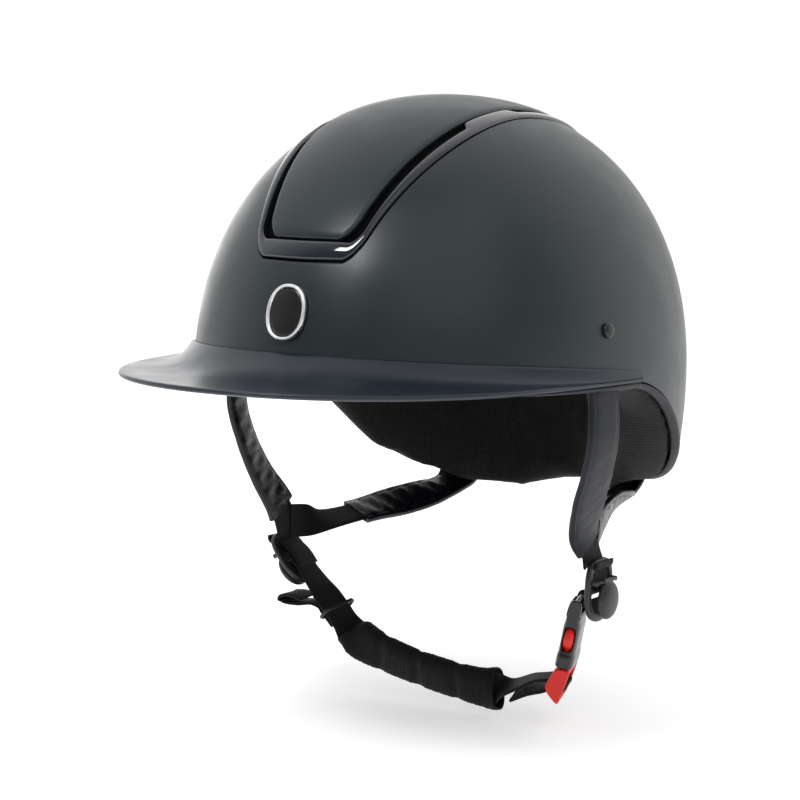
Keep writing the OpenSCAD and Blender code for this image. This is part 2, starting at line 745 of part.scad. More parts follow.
// A divider in its own frame: Y across, Z up and X out from the wearer's cheek
module place_left() {
    translate(left_divider) children();
}
module place_right() {
    translate(right_divider) rotate([0, -right_divider_tilt, 0]) mirror([1, 0, 0]) children();
}
window_w = web_w + 1;
plate_t = 3;
pin_at = [4.4, 0, 4.5];
module along_y(r, length) {
    rotate([90, 0, 0]) cylinder(h = length, r = r, center = true);
}
module divider_frame() {
    cheek = (divider_w - window_w) / 2;
    difference() {
        union() {
            rotate([90, 0, 90]) translate([0, 0, -plate_t / 2]) linear_extrude(plate_t) {
                translate([-divider_w / 2, -divider_foot]) square([divider_w, divider_foot + bar_up]);
                translate([0, -divider_foot]) circle(d = divider_w, $fn = 64);
                for (x = [-1, 1])
                    translate([x * (divider_w - cheek) / 2, bar_up]) circle(d = cheek, $fn = 24);
            }
            for (y = [-1, 1])
                translate([3, y * (divider_w / 2 - 1), pin_at[2]]) cube([6, 2, 5.4], center = true);
        }
        translate([-5, -window_w / 2, -divider_foot - 6]) cube([10, window_w, 30]);
        translate(pin_at) along_y(1.02, divider_w + 4);
    }
    translate([0, 0, bar_up]) along_y(bar_r, window_w + 1);
    along_y(bar_r, window_w + 1);
}
module cam_pin() {
    translate(pin_at) along_y(1, divider_w + 0.6);
}
module cam_lever() {
    reach_down = cam_d / 2;
    difference() {
        union() {
            translate(pin_at) along_y(2.1, window_w - 2.4);
            translate([pin_at[0] - 0.6, 0, pin_at[2] - reach_down]) rotate([0, 90, 0]) {
                cylinder(h = 2, d = cam_d, $fn = 48);
                translate([0, 0, 2]) cylinder(h = 1.4, d1 = cam_d, d2 = cam_d - 6, $fn = 48);
            }
        }
        translate(pin_at) along_y(1.06, divider_w);
    }
}
module divider_frame_left() {
    color(plastic_black) place_left() divider_frame();
}
module divider_frame_right() {
    color(plastic_black) place_right() divider_frame();
}
module cam_pin_left() {
    color(chrome) place_left() cam_pin();
}
module cam_pin_right() {
    color(chrome) place_right() cam_pin();
}
module cam_lever_left() {
    color(plastic_black) place_left() cam_lever();
}
module cam_lever_right() {
    color(plastic_black) place_right() cam_lever();
}
module lower_webbing_left() {
    last = len(lower_left_path) - 1;
    color(webbing_black) strap(lower_left_path, lower_left_across, 0, last, 40, web_w - 4, web_t);
}

// ---------- Buckle: Z along its axis from the mouth, Y across ----------

module place_buckle() {
    translate(mouth) rotate([0, buckle_tilt, 0]) rotate([0, 0, buckle_yaw]) children();
}
cavity_w = 19.4;
cavity_t = 5.6;
body_h = 25;
housing_top = housing_bar + 2.4;
module buckle_housing() {
    cheek = 4.8;
    color(plastic_black) place_buckle() {
        difference() {
            union() {
                translate([-buckle_t / 2, -buckle_w / 2 + 2, 0]) cube([buckle_t, buckle_w - 4, body_h]);
                for (y = [-1, 1])
                    translate([0, y * (buckle_w / 2 - cheek / 2), housing_top / 2])
                        cube([buckle_t - 2, cheek, housing_top], center = true);
            }
            translate([-cavity_t / 2, -cavity_w / 2, -1]) cube([cavity_t, cavity_w, insert_len + 2.6]);
            translate([-cavity_t / 2, -buckle_w, 9]) cube([cavity_t, 2 * buckle_w, 11]);
            translate([-buckle_t, -window_w / 2, body_h]) cube([2 * buckle_t, window_w, 20]);
        }
        translate([0, 0, housing_bar]) along_y(bar_r, window_w + 1);
    }
}

arm_t = 3.6;
arm_root = [0, 7.4, -1.4];
module buckle_tongue() {
    base_w = buckle_w - 1.4;
    color(plastic_red) place_buckle() {
        difference() {
            union() {
                translate([-3.2, -base_w / 2, -17]) cube([6.4, base_w, 16.4]);
                translate([-arm_t / 2, -3, -2]) cube([arm_t, 6, insert_len + 1]);
            }
            translate([-6, -window_w / 2, tongue_bar - 4.6]) cube([12, window_w, 9.2]);
            for (y = [-1, 1])
                translate([0, y * arm_root[1], arm_root[2]]) rotate([0, 90, 0])
                    cylinder(h = 12, r = 1.9, center = true);
            for (y = [-1, 1])
                translate([-6, y * arm_root[1] - 1.9, arm_root[2]]) cube([12, 3.8, 4]);
        }
        translate([0, 0, tongue_bar]) along_y(bar_r, window_w + 1);
    }
}
// Springy arm on the side y: a round root, a slim blade and a thumb head in the housing's window
module latch_arm(side) {
    mirror([0, side < 0 ? 1 : 0, 0]) {
        translate([0, arm_root[1], arm_root[2]]) rotate([0, 90, 0])
            cylinder(h = arm_t, r = 1.5, center = true);
        rotate([90, 0, 90]) translate([0, 0, -arm_t / 2]) linear_extrude(arm_t) polygon([
            [6.2, -1.4], [8.6, -1.4], [8.8, 9.4], [11.2, 10.4], [11.6, 14], [10.4, 18.4],
            [8.6, 19.6], [6.6, 19.2], [6, 9]
        ]);
    }
}
module latch_arm_front() {
    color(plastic_red) place_buckle() latch_arm(-1);
}
module latch_arm_rear() {
    color(plastic_red) place_buckle() latch_arm(1);
}

// ---------- Chin strap ----------

module chin_webbing() {
    last = len(chin_path) - 1;
    color(webbing_black) strap(chin_path, chin_across, 0, last, 76, web_w - 1, web_t);
}
module adjuster_strand() {
    last = len(adjuster_path) - 1;
    color(webbing_black) strap(adjuster_path, adjuster_across, 0, last, 24, web_w - 1, web_t);
}
module strap_tail() {
    color(webbing_black) strap(tail_path, tail_across, 0, 9, 36, web_w - 1, web_t);
}
module keeper_ring() {
    outer = [strap_ring(chin_path, chin_across, keeper_at - 0.14, web_w + 5, 10.4),
        strap_ring(chin_path, chin_across, keeper_at + 0.14, web_w + 5, 10.4)];
    inner = [strap_ring(chin_path, chin_across, keeper_at - 0.14, web_w + 2, 7.4),
        strap_ring(chin_path, chin_across, keeper_at + 0.14, web_w + 2, 7.4)];
    color(plastic_black) hollow_loft(outer, inner);
}
module chin_pad() {
    color(textile_black) hollow_loft(
        strap_rings(chin_path, chin_across, chin_pad_span[0], chin_pad_span[1], 28,
            chin_pad_h, chin_pad_t),
        strap_rings(chin_path, chin_across, chin_pad_span[0], chin_pad_span[1], 28,
            web_w + 0.4, web_t + 2.4)
    );
}

outer_shell();
eps_liner();
centre_panel();
trim_frame();
brim();
rim_trim();
badge_rim();
badge_face();
front_rivets();
rear_rivets();
strap_washers();
forehead_band();
side_pad_left();
side_pad_right();
nape_pad();
crown_pad();
hook_dots();
front_webbing_left();
rear_webbing_left();
front_webbing_right();
rear_webbing_right();
front_sleeve_left();
rear_sleeve_left();
front_sleeve_right();
rear_sleeve_right();
divider_frame_left();
cam_pin_left();
cam_lever_left();
lower_webbing_left();
divider_frame_right();
cam_pin_right();
cam_lever_right();
buckle_housing();
buckle_tongue();
latch_arm_front();
latch_arm_rear();
chin_webbing();
adjuster_strand();
strap_tail();
keeper_ring();
chin_pad();
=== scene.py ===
import math

import bpy
import numpy as np
from mathutils import Matrix, Vector


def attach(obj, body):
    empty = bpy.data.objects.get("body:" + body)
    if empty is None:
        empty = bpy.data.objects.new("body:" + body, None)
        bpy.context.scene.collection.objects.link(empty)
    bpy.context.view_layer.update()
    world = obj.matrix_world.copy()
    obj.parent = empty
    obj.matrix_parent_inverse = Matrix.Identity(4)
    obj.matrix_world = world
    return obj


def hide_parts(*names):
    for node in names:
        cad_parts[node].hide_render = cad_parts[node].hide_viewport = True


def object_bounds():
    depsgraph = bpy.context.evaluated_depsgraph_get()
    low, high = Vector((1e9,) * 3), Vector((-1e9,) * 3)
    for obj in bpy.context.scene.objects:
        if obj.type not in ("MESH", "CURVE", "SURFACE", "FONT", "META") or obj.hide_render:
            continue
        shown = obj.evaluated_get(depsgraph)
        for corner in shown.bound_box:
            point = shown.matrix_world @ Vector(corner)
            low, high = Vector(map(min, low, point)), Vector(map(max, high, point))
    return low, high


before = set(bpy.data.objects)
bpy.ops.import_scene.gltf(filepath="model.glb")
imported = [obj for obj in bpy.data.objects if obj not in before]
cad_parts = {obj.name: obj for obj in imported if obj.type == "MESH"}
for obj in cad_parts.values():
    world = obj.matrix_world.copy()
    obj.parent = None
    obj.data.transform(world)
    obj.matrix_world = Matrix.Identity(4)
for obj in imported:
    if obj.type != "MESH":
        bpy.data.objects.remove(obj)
cad_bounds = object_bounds()
MM = 0.001

# ---------------------------------------------------------------- sizes, in millimetres
HALF_L, HALF_W, CROWN = 138.0, 108.5, 134.0
SHELL_T = 3.6
DOME_M, DOME_N, TAPER = 2.17, 2.1, 0.16
RIM_FRONT, RIM_REAR = 6.0, -55.0
TRIM_Y0, TRIM_Y1, TRIM_BAR, WIDEST = -126.8, 104.0, 3.9, -16.0
PANEL_Y0, PANEL_Y1 = TRIM_Y0 + TRIM_BAR + 0.5, TRIM_Y1 - TRIM_BAR - 0.5
VENT_GAP = 4.2
FOAM_IN, PAD_T = 24.0, 5.5
SLEEVE_W, WEB_W, WEB_T = 22.8, 17.0, 1.4
STRAP_DEPTH = 7.8
FRONT_ANCHOR, REAR_ANCHOR = (76.0, 30.0), (149.0, -25.0)
BAR_UP, BAR_R = 13.0, 1.6
LOOP_R = BAR_R + 0.4 + WEB_T / 2
SWING = np.array([-94.0, -3.0, -90.0])
DIV_TILT = math.radians(40)
LEFT_DIV = np.array([85.6, 2.0, -95.0])
RIGHT_DIV = SWING + BAR_UP * np.array([math.sin(DIV_TILT), 0, -math.cos(DIV_TILT)])
MOUTH = np.array([71.0, 0.5, -132.0])
INSERT = 22.0
HOUSING_BAR, TONGUE_BAR = 31.0, -10.0
YAW = math.radians(17)
_dx, _dz = MOUTH[0] - SWING[0], SWING[2] - MOUTH[2]
TILT = math.atan2(_dz, _dx) - math.asin((INSERT / 2) / math.hypot(_dx, _dz))
PIN_AT = np.array([4.4, 0.0, 4.5])
PIN_R, PIN_LENGTH, CAM_DROP = 0.7, 19.6, 9.0
OUTLINE_STEPS, BAR_STEPS, CORNER_R = 190, 22, 6
GROOVE_FLOOR, FOOT = -2.2, -1.7
CUSHION_SWELL, NAPE_SWELL, CLOTH_FRAMES = 1.6, 2.0, 20
SEAM_INSET = 2.6
WINDOW_AT, WINDOW_HALF = 14.2, 6.4


# ---------------------------------------------------------------- dome
def spow(v, e):
    return np.sign(v) * np.abs(v) ** e


def lerp(a, b, u):
    return a + (b - a) * u


def smooth(u):
    q = np.clip(u, 0, 1)
    return q * q * (3 - 2 * q)


def superellipse(n, rx, ry, ex, ey=None):
    q = np.linspace(0, 2 * np.pi, n, endpoint=False)
    return np.stack([rx * spow(np.cos(q), ex), ry * spow(np.sin(q), ex if ey is None else ey)], -1)


def level(outline, z):
    """A plan outline set at a height."""
    return np.stack([outline[:, 0], outline[:, 1], np.full(len(outline), z)], -1)


def unit(v):
    return v / np.maximum(np.linalg.norm(v, axis=-1, keepdims=True), 1e-12)


def radius_at(z, d):
    """Share of the full radius at a height, on the dome moved out by d."""
    z = np.asarray(z, float)
    up = np.maximum(0, 1 - (np.maximum(z, 0) / (CROWN + d)) ** DOME_M) ** (1 / DOME_M)
    return np.where(z < 0, 1 - TAPER * (z / 100) ** 2, up)


def ring_pt(a, d, z):
    """Point at an azimuth (degrees, 0 at the front), a distance from the dome and a height."""
    a, d, z = np.broadcast_arrays(np.radians(np.asarray(a, float)), np.asarray(d, float), np.asarray(z, float))
    r = radius_at(z, d)
    x = (HALF_W + d) * r * spow(np.sin(a), 2 / DOME_N)
    y = -(HALF_L + d) * r * spow(np.cos(a), 2 / DOME_N)
    return np.stack([x, y, z], -1)


def dome_normal(p):
    x, y, z = p[..., 0] / HALF_W, p[..., 1] / HALF_L, np.maximum(p[..., 2], 0) / CROWN
    rho = np.maximum((np.abs(x) ** DOME_N + np.abs(y) ** DOME_N) ** (1 / DOME_N), 1e-3)
    k = rho ** (DOME_M - DOME_N)
    return unit(
        np.stack([k * spow(x, DOME_N - 1) / HALF_W, k * spow(y, DOME_N - 1) / HALF_L, z ** (DOME_M - 1) / CROWN], -1)
    )


def over(x, y, d):
    """Point above (x, y), a distance d out from the dome."""
    x, y, d = np.broadcast_arrays(np.asarray(x, float), np.asarray(y, float), np.asarray(d, float))
    rho = (np.abs(x) / HALF_W) ** DOME_N + (np.abs(y) / HALF_L) ** DOME_N
    z = CROWN * np.maximum(0, 1 - rho ** (DOME_M / DOME_N)) ** (1 / DOME_M)
    p = np.stack([x, y, z], -1)
    return p + d[..., None] * dome_normal(p)


def bowed(x, y, d):
    """As over, with the cross lines bowed forward away from the middle."""
    return over(x, np.asarray(y, float) * (1 - 0.000044 * np.asarray(x, float) ** 2), d)


def rim_z(a):
    """Height of the shell's edge at an azimuth."""
    y = -HALF_L * spow(np.cos(np.radians(a)), 2 / DOME_N)
    return lerp(RIM_FRONT, RIM_REAR, smooth((y + 15) / 140))


def row_of(z):
    """Row number of a height: 0 at the widest level, 1 at the crown."""
    z = np.asarray(z, float)
    up = np.degrees(np.arcsin(np.clip((np.maximum(z, 0) / CROWN) ** (DOME_M / 2), 0, 1))) / 90
    return np.where(z < 0, z / CROWN, up)


def row_z(t, d):
    """Height of a row on the dome moved out by d."""
    t = np.asarray(t, float)
    up = (CROWN + d) * np.sin(np.radians(90 * np.clip(t, 0, 1))) ** (2 / DOME_M)
    return np.where(t < 0, t * CROWN, up)


def azimuth_of(p):
    """Azimuth, in degrees, of the dome's meridian through a point."""
    s = spow(p[..., 0] / HALF_W, DOME_N / 2)
    c = spow(-p[..., 1] / HALF_L, DOME_N / 2)
    return np.degrees(np.arctan2(s, c))


# ---------------------------------------------------------------- mesh building
def collect(name, verts, faces, mats, body, cad=None, slot=None, sharp=60, uvs=None, face_mats=None, flip=False):
    """A piece from vertices in millimetres, riding on a body and standing for the CAD node cad.

    mats is one key of MAT, or several that face_mats picks from. Edges over sharp degrees stay hard.
    """
    mesh = bpy.data.meshes.new(name)
    if flip:
        faces = [tuple(reversed(f)) for f in faces]
        if uvs is not None:
            uvs = [tuple(reversed(u)) for u in uvs]
    mesh.from_pydata((np.asarray(verts, float) * MM).tolist(), [], faces)
    if uvs is not None:
        layer = mesh.uv_layers.new(name="UVMap")
        layer.data.foreach_set("uv", np.array([c for f in uvs for c in f], float).ravel())
    obj = bpy.data.objects.new(name, mesh)
    bpy.context.scene.collection.objects.link(obj)
    for key in (mats,) if isinstance(mats, str) else mats:
        mesh.materials.append(MAT[key])
    if face_mats is not None:
        mesh.polygons.foreach_set("material_index", face_mats)
    mesh.update()
    mesh.shade_smooth()
    if sharp:
        mesh.set_sharp_from_angle(angle=math.radians(sharp))
    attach(obj, body)
    if cad:
        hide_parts(cad)
    return obj


def grid_faces(n, m, close_rows=False, close_cols=False, base=0):
    """Quads of an n by m grid of vertices."""
    out = []
    for i in range(n if close_rows else n - 1):
        for j in range(m if close_cols else m - 1):
            a, b = i * m + j, ((i + 1) % n) * m + j
            k = (j + 1) % m - j
            out.append((base + a, base + b, base + b + k, base + a + k))
    return out


def fan_cap(verts, ring, flip=False):
    """Closes a ring of vertex numbers with a fan round its middle."""
    c = np.mean([verts[i] for i in ring], 0)
    verts.append(c)
    k = len(verts) - 1
    out = []
    for i in range(len(ring)):
        a, b = ring[i], ring[(i + 1) % len(ring)]
        out.append((a, b, k) if flip else (b, a, k))
    return out


def tube(rings, closed=False):
    """Vertices and faces of a tube through rings of equal length."""
    n, m = len(rings), len(rings[0])
    verts = [p for r in rings for p in r]
    faces = grid_faces(n, m, close_rows=closed, close_cols=True)
    if not closed:
        faces += fan_cap(verts, list(range(m)))
        faces += fan_cap(verts, [(n - 1) * m + j for j in range(m)], flip=True)
    return verts, faces


def lathe(profile, steps=48):
    """Solid of revolution about Z from (radius, z) points that start and end on the axis."""
    q = np.linspace(0, 2 * np.pi, steps, endpoint=False)
    body = [p for p in profile if p[0] > 1e-6]
    verts = [np.array([r * math.cos(a), r * math.sin(a), z]) for r, z in body for a in q]
    faces = grid_faces(len(body), steps, close_cols=True)
    faces = [tuple(reversed(f)) for f in faces]
    lo, hi = len(verts), len(verts) + 1
    verts += [np.array([0, 0, profile[0][1]]), np.array([0, 0, profile[-1][1]])]
    last = (len(body) - 1) * steps
    for i in range(steps):
        j = (i + 1) % steps
        faces.append((lo, j, i))
        faces.append((hi, last + i, last + j))
    return np.array(verts), faces


def outward(verts, faces):
    """True if the closed mesh encloses a positive volume."""
    v = np.asarray(verts, float)
    total = 0.0
    for f in faces:
        for k in range(1, len(f) - 1):
            total += np.dot(v[f[0]], np.cross(v[f[k]], v[f[k + 1]]))
    return total > 0


def solid(name, verts, faces, mats, body, **kw):
    """A closed piece, turned right side out."""
    return collect(name, verts, faces, mats, body, flip=not outward(verts, faces), **kw)


def merged(parts):
    """One part out of several."""
    verts, faces = [], []
    for v, f in parts:
        base = len(verts)
        verts += list(v)
        faces += [tuple(i + base for i in q) for q in f]
    return verts, faces


def moved(part, by):
    """A part shifted by a vector."""
    v, f = part
    return np.asarray(v) + np.asarray(by), f


def right_way(part):
    """A closed part turned right side out."""
    v, f = part
    return (v, f) if outward(v, f) else (v, [tuple(reversed(q)) for q in f])


def modified(obj, *mods):
    """Applies modifiers given as (type, {setting: value}) and keeps the result."""
    bpy.context.view_layer.update()
    for kind, settings in mods:
        m = obj.modifiers.new(kind, kind)
        for k, v in settings.items():
            setattr(m, k, v)
    deps = bpy.context.evaluated_depsgraph_get()
    mesh = bpy.data.meshes.new_from_object(obj.evaluated_get(deps), preserve_all_data_layers=True, depsgraph=deps)
    obj.modifiers.clear()
    old = obj.data
    obj.data = mesh
    bpy.data.meshes.remove(old)
    return obj


# ---------------------------------------------------------------- materials
def material(name, base, rough, **sockets):
    m = bpy.data.materials.new(name)
    m.use_nodes = True
    nt = m.node_tree
    b = nt.nodes["Principled BSDF"]
    b.inputs["Base Color"].default_value = (*base, 1)
    b.inputs["Roughness"].default_value = rough
    for k, v in sockets.items():
        b.inputs[k.replace("_", " ")].default_value = v
    return m, nt, b


def node(nt, kind, **values):
    n = nt.nodes.new(kind)
    for k, v in values.items():
        if k in n.inputs.keys():
            n.inputs[k].default_value = v
        elif k.replace("_", " ") in n.inputs.keys():
            n.inputs[k.replace("_", " ")].default_value = v
        else:
            setattr(n, k, v)
    return n


def coords(nt, scale=(1, 1, 1), uv=False, turn=0.0):
    """Object coordinates in metres, or the strap's own length and width in millimetres."""
    src = node(nt, "ShaderNodeUVMap", uv_map="UVMap") if uv else node(nt, "ShaderNodeTexCoord")
    out = src.outputs["UV"] if uv else src.outputs["Object"]
    mp = node(nt, "ShaderNodeMapping")
    mp.inputs["Scale"].default_value = scale
    mp.inputs["Rotation"].default_value = (0, 0, turn)
    nt.links.new(out, mp.inputs["Vector"])
    return mp.outputs["Vector"]


def ramp(nt, fac, stops):
    n = node(nt, "ShaderNodeValToRGB")
    els = n.color_ramp.elements
    while len(els) < len(stops):
        els.new(0.5)
    for e, (p, c) in zip(els, stops):
        e.position = p
        e.color = (*c, 1) if isinstance(c, tuple) else (c, c, c, 1)
    nt.links.new(fac, n.inputs["Fac"])
    return n.outputs["Color"]


def bump(nt, bsdf, height, distance, strength=1.0, chain=None):
    n = node(nt, "ShaderNodeBump")
    n.inputs["Distance"].default_value = distance
    n.inputs["Strength"].default_value = strength
    nt.links.new(height, n.inputs["Height"])
    if chain is not None:
        nt.links.new(chain, n.inputs["Normal"])
    nt.links.new(n.outputs["Normal"], bsdf.inputs["Normal"])
    return n.outputs["Normal"]


def noise(nt, vec, scale, detail=2.0, rough=0.5):
    n = node(nt, "ShaderNodeTexNoise", Scale=scale, Detail=detail, Roughness=rough)
    nt.links.new(vec, n.inputs["Vector"])
    return n.outputs["Fac"]


def math_node(nt, op, a, b):
    n = node(nt, "ShaderNodeMath", operation=op)
    for s, v in zip(n.inputs, (a, b)):
        if isinstance(v, (int, float)):
            s.default_value = v
        else:
            nt.links.new(v, s)
    return n.outputs[0]


def shade(base, k):
    return tuple(x * k for x in base)


def mottled(nt, bsdf, fac, base, low=(0.3, 0.9), high=(0.7, 1.1)):
    """Base colour that varies: each of low and high is (share of fac, brightness)."""
    tint = ramp(nt, fac, [(at, shade(base, k)) for at, k in (low, high)])
    if bsdf is not None:
        nt.links.new(tint, bsdf.inputs["Base Color"])
    return tint


def uneven(nt, bsdf, fac, low, high):
    """Roughness between low and high, each (share of fac, roughness)."""
    nt.links.new(ramp(nt, fac, [low, high]), bsdf.inputs["Roughness"])


def mixed(nt, bsdf, fac, a, b):
    """Base colour from a to b; each is a colour or a socket."""
    mix = node(nt, "ShaderNodeMix", data_type="RGBA")
    nt.links.new(fac, mix.inputs[0])
    for socket, value in ((mix.inputs[6], a), (mix.inputs[7], b)):
        if isinstance(value, tuple):
            socket.default_value = (*value, 1)
        else:
            nt.links.new(value, socket)
    nt.links.new(mix.outputs[2], bsdf.inputs["Base Color"])


def matte(name, base, rough=0.52, grain=0.000025):
    m, nt, b = material(name, base, rough)
    v = coords(nt)
    mottled(nt, b, noise(nt, v, 14.0, 3.0), base, (0.3, 0.94), (0.7, 1.07))
    uneven(nt, b, noise(nt, v, 60.0, 4.0), (0.25, rough - 0.04), (0.75, rough + 0.05))
    bump(nt, b, noise(nt, v, 1500.0, 2.0), grain)
    return m


def plastic(name, base, rough, grain=0.00003, scale=900.0, edge=1.6, **sockets):
    """Moulded plastic, lighter on its edges as a painted highlight, which the mesh's own curvature finds."""
    m, nt, b = material(name, base, rough, **sockets)
    v = coords(nt)
    curve = node(nt, "ShaderNodeNewGeometry")
    # Painted highlight: convex edges are mixed towards a lighter copy of the base colour.
    edge_highlight_share = ramp(nt, curve.outputs["Pointiness"], [(0.5, 0.0), (0.62, 1.0)])
    light = tuple(min(1, x * edge + 0.01) for x in base)
    mixed(nt, b, edge_highlight_share, mottled(nt, None, noise(nt, v, 40.0, 3.0), base), light)
    uneven(nt, b, noise(nt, v, 120.0, 4.0), (0.25, max(0.02, rough - 0.05)), (0.75, rough + 0.07))
    bump(nt, b, noise(nt, v, scale, 2.0), grain)
    return m


def mesh_textile(name, base, dot, size=0.0016, depth=0.00035):
    """Spacer mesh: rows of small round holes in a dull knit, with painted shade in the holes."""
    m, nt, b = material(name, base, 0.85, Sheen_Weight=0.05, Sheen_Roughness=0.5, Specular_IOR_Level=0.25)
    v = coords(nt)
    cells = node(nt, "ShaderNodeTexVoronoi", Scale=1 / size, Randomness=0.25)
    nt.links.new(v, cells.inputs["Vector"])
    hole = ramp(nt, cells.outputs["Distance"], [(0.18, 0.0), (0.42, 1.0)])
    knit = mottled(nt, None, noise(nt, v, 35.0, 3.0), base, (0.3, 0.8), (0.7, 1.2))
    # Painted shade: the holes take the dark colour, which stands for the shade inside them.
    mixed(nt, b, hole, dot, knit)
    n1 = bump(nt, b, hole, depth, 0.8)
    bump(nt, b, noise(nt, v, 2600.0, 3.0), 0.00012, 0.6, n1)
    return m


def webbing(name, base, light):
    """Ribbed webbing: cross ribs with a fine diagonal twill; the colour is painted darker in the grooves as shade and
    lighter on the rib tops as highlight, with a random tone.
    """
    m, nt, b = material(name, base, 0.75, Sheen_Weight=0.05, Sheen_Roughness=0.4, Specular_IOR_Level=0.3)
    v = coords(nt, (1, 1, 1), uv=True)
    twill = node(nt, "ShaderNodeTexWave", wave_type="BANDS", bands_direction="DIAGONAL", Scale=0.42, Distortion=0.4)
    nt.links.new(coords(nt, (1, 1, 0), uv=True, turn=0.35), twill.inputs["Vector"])
    ribs = node(nt, "ShaderNodeTexWave", wave_type="BANDS", bands_direction="X", Scale=0.36, Distortion=0.25)
    nt.links.new(v, ribs.inputs["Vector"])
    both = math_node(nt, "MULTIPLY", twill.outputs["Fac"], ribs.outputs["Fac"])
    fuzz = noise(nt, coords(nt), 3000.0, 3.0)
    height = math_node(nt, "ADD", both, math_node(nt, "MULTIPLY", fuzz, 0.35))
    # Painted shade and highlight: the colour follows the weave's height, base colour in the grooves and the light
    # colour on the tops, plus a random tone.
    groove_shade_and_tone = math_node(
        nt, "ADD", math_node(nt, "MULTIPLY", both, 0.75),
        math_node(nt, "MULTIPLY", noise(nt, coords(nt), 90.0, 3.0), 0.3),
    )
    nt.links.new(ramp(nt, groove_shade_and_tone, [(0.1, base), (0.85, light)]), b.inputs["Base Color"])
    bump(nt, b, height, 0.00028, 0.9)
    return m


def leatherette(name, base, rough=0.4, crease=0.00035, shine=0.25, folds=(70.0, 5.0)):
    """Coated fabric: a fine cell grain over soft creases; folds is the creases' (scale, detail)."""
    m, nt, b = material(name, base, rough, Specular_IOR_Level=shine)
    v = coords(nt)
    cells = node(nt, "ShaderNodeTexVoronoi", Scale=850.0, feature="DISTANCE_TO_EDGE")
    nt.links.new(v, cells.inputs["Vector"])
    grain = ramp(nt, cells.outputs["Distance"], [(0.0, 0.0), (0.22, 1.0)])
    creases = ramp(nt, noise(nt, coords(nt, (1, 1, 0.5)), *folds, 0.5), [(0.3, 0.0), (0.7, 1.0)])
    mottled(nt, b, noise(nt, v, 26.0, 3.0), base, (0.3, 0.86), (0.72, 1.14))
    uneven(nt, b, creases, (0.0, rough - 0.06), (1.0, rough + 0.08))
    n1 = bump(nt, b, grain, 0.00007, 0.7)
    bump(nt, b, creases, crease, 0.35, n1)
    return m


def foam(name, base):
    m, nt, b = material(name, base, 0.75)
    v = coords(nt)
    cells = node(nt, "ShaderNodeTexVoronoi", Scale=330.0, feature="SMOOTH_F1", Smoothness=0.3)
    nt.links.new(v, cells.inputs["Vector"])
    # Painted shade and highlight: darker in the sunk borders between the foam's beads, lighter on their tops.
    mottled(nt, b, cells.outputs["Distance"], base, (0.1, 1.3), (0.6, 0.6))
    bump(nt, b, cells.outputs["Distance"], -0.0006, 0.6)
    return m


def metal(name, base, rough):
    m, nt, b = material(name, base, rough, Metallic=1.0)
    v = coords(nt)
    uneven(nt, b, noise(nt, v, 300.0, 5.0), (0.3, rough), (0.75, rough + 0.14))
    bump(nt, b, noise(nt, v, 700.0, 2.0), 0.00002)
    return m


MAT = {
    "shell": matte("matt_shell", (0.0085, 0.0170, 0.0200), 0.35),
    "brim": matte("matt_brim", (0.0065, 0.0125, 0.0220), 0.35),
    "under": matte("brim_underside", (0.010, 0.011, 0.014), 0.6, 0.00006),
    "gloss": plastic(
        "gloss_trim", (0.004, 0.006, 0.013), 0.07, 0.000004, 300.0, 1.1, Coat_Weight=0.6, Coat_Roughness=0.04,
    ),
    # Black floor under the vent gaps: partly the dark liner seen through the vents, partly painted shade in them.
    "dark": plastic("vent_dark_liner_and_shade", (0.0015, 0.0015, 0.0018), 0.9, Specular_IOR_Level=0.1),
    "bead": leatherette("rim_bead", (0.022, 0.021, 0.028), 0.5),
    "foam": foam("liner_foam", (0.012, 0.012, 0.013)),
    # The last colour of each mesh textile is the painted shade in its holes.
    "textile": mesh_textile("liner_textile", (0.0055, 0.0062, 0.0048), (0.0008, 0.0008, 0.0008), 0.0017),
    "chin": mesh_textile("chin_textile", (0.005, 0.005, 0.005), (0.001, 0.001, 0.001), 0.0011, 0.0002),
    "hide": leatherette("sleeve_hide", (0.0105, 0.012, 0.018), 0.46, 0.00025),
    "hide_gloss": leatherette("sleeve_lining", (0.004, 0.005, 0.009), 0.27, 0.0006, 0.4, (42.0, 1.0)),
    "thread": plastic("sleeve_thread", (0.016, 0.018, 0.024), 0.7, 0.0001, 3000.0),
    # The webbing's second colour is the painted highlight on its rib tops.
    "webbing": webbing("black_webbing", (0.002, 0.002, 0.002), (0.014, 0.014, 0.012)),
    "plastic": plastic("black_plastic", (0.012, 0.013, 0.012), 0.38, 0.00004, 1100.0),
    "glossy": plastic("buckle_plastic", (0.007, 0.008, 0.008), 0.22, 0.00002, 700.0),
    "red": plastic("red_plastic", (0.78, 0.022, 0.014), 0.36, 0.00002, 700.0, 1.1, Specular_IOR_Level=0.35),
    "chrome": metal("badge_metal", (0.92, 0.92, 0.92), 0.26),
    "steel": metal("steel", (0.55, 0.55, 0.56), 0.25),
    "field": plastic("badge_field", (0.006, 0.006, 0.007), 0.22, 0.00005, 2500.0),
    # The hook tape's last colour is the painted shade in its holes.
    "velcro": mesh_textile("hook_tape", (0.012, 0.012, 0.012), (0.004, 0.004, 0.004), 0.0009, 0.0005),
}


# ---------------------------------------------------------------- trim and panel outlines
def front_share(y, y0):
    return np.clip((WIDEST - y) / (WIDEST - y0), 0, 1)


def rear_share(y, y1):
    return np.clip((y - WIDEST) / (y1 - WIDEST), 0, 1)


def trim_half(y):
    return 45 - 19 * front_share(y, TRIM_Y0) ** 3 - 15 * rear_share(y, TRIM_Y1) ** 2.4


def panel_half(y):
    return 36.5 - 15 * front_share(y, PANEL_Y0) ** 2.6 - 13 * rear_share(y, PANEL_Y1) ** 2.4


def rounded(w, r, g):
    g = np.asarray(g, float)
    return np.where(g >= r, w, w - r + np.sqrt(np.maximum(0, r * r - np.maximum(r - g, 0) ** 2)))


def gap_share(y):
    front = 1 - smooth((y + 60) / 6)
    rear = smooth((y + 20) / 6) * (1 - smooth((y - 43) / 6))
    return np.maximum(front, rear)


def trim_inner(y):
    return panel_half(y) + 0.6 + (VENT_GAP - 0.6) * gap_share(y)


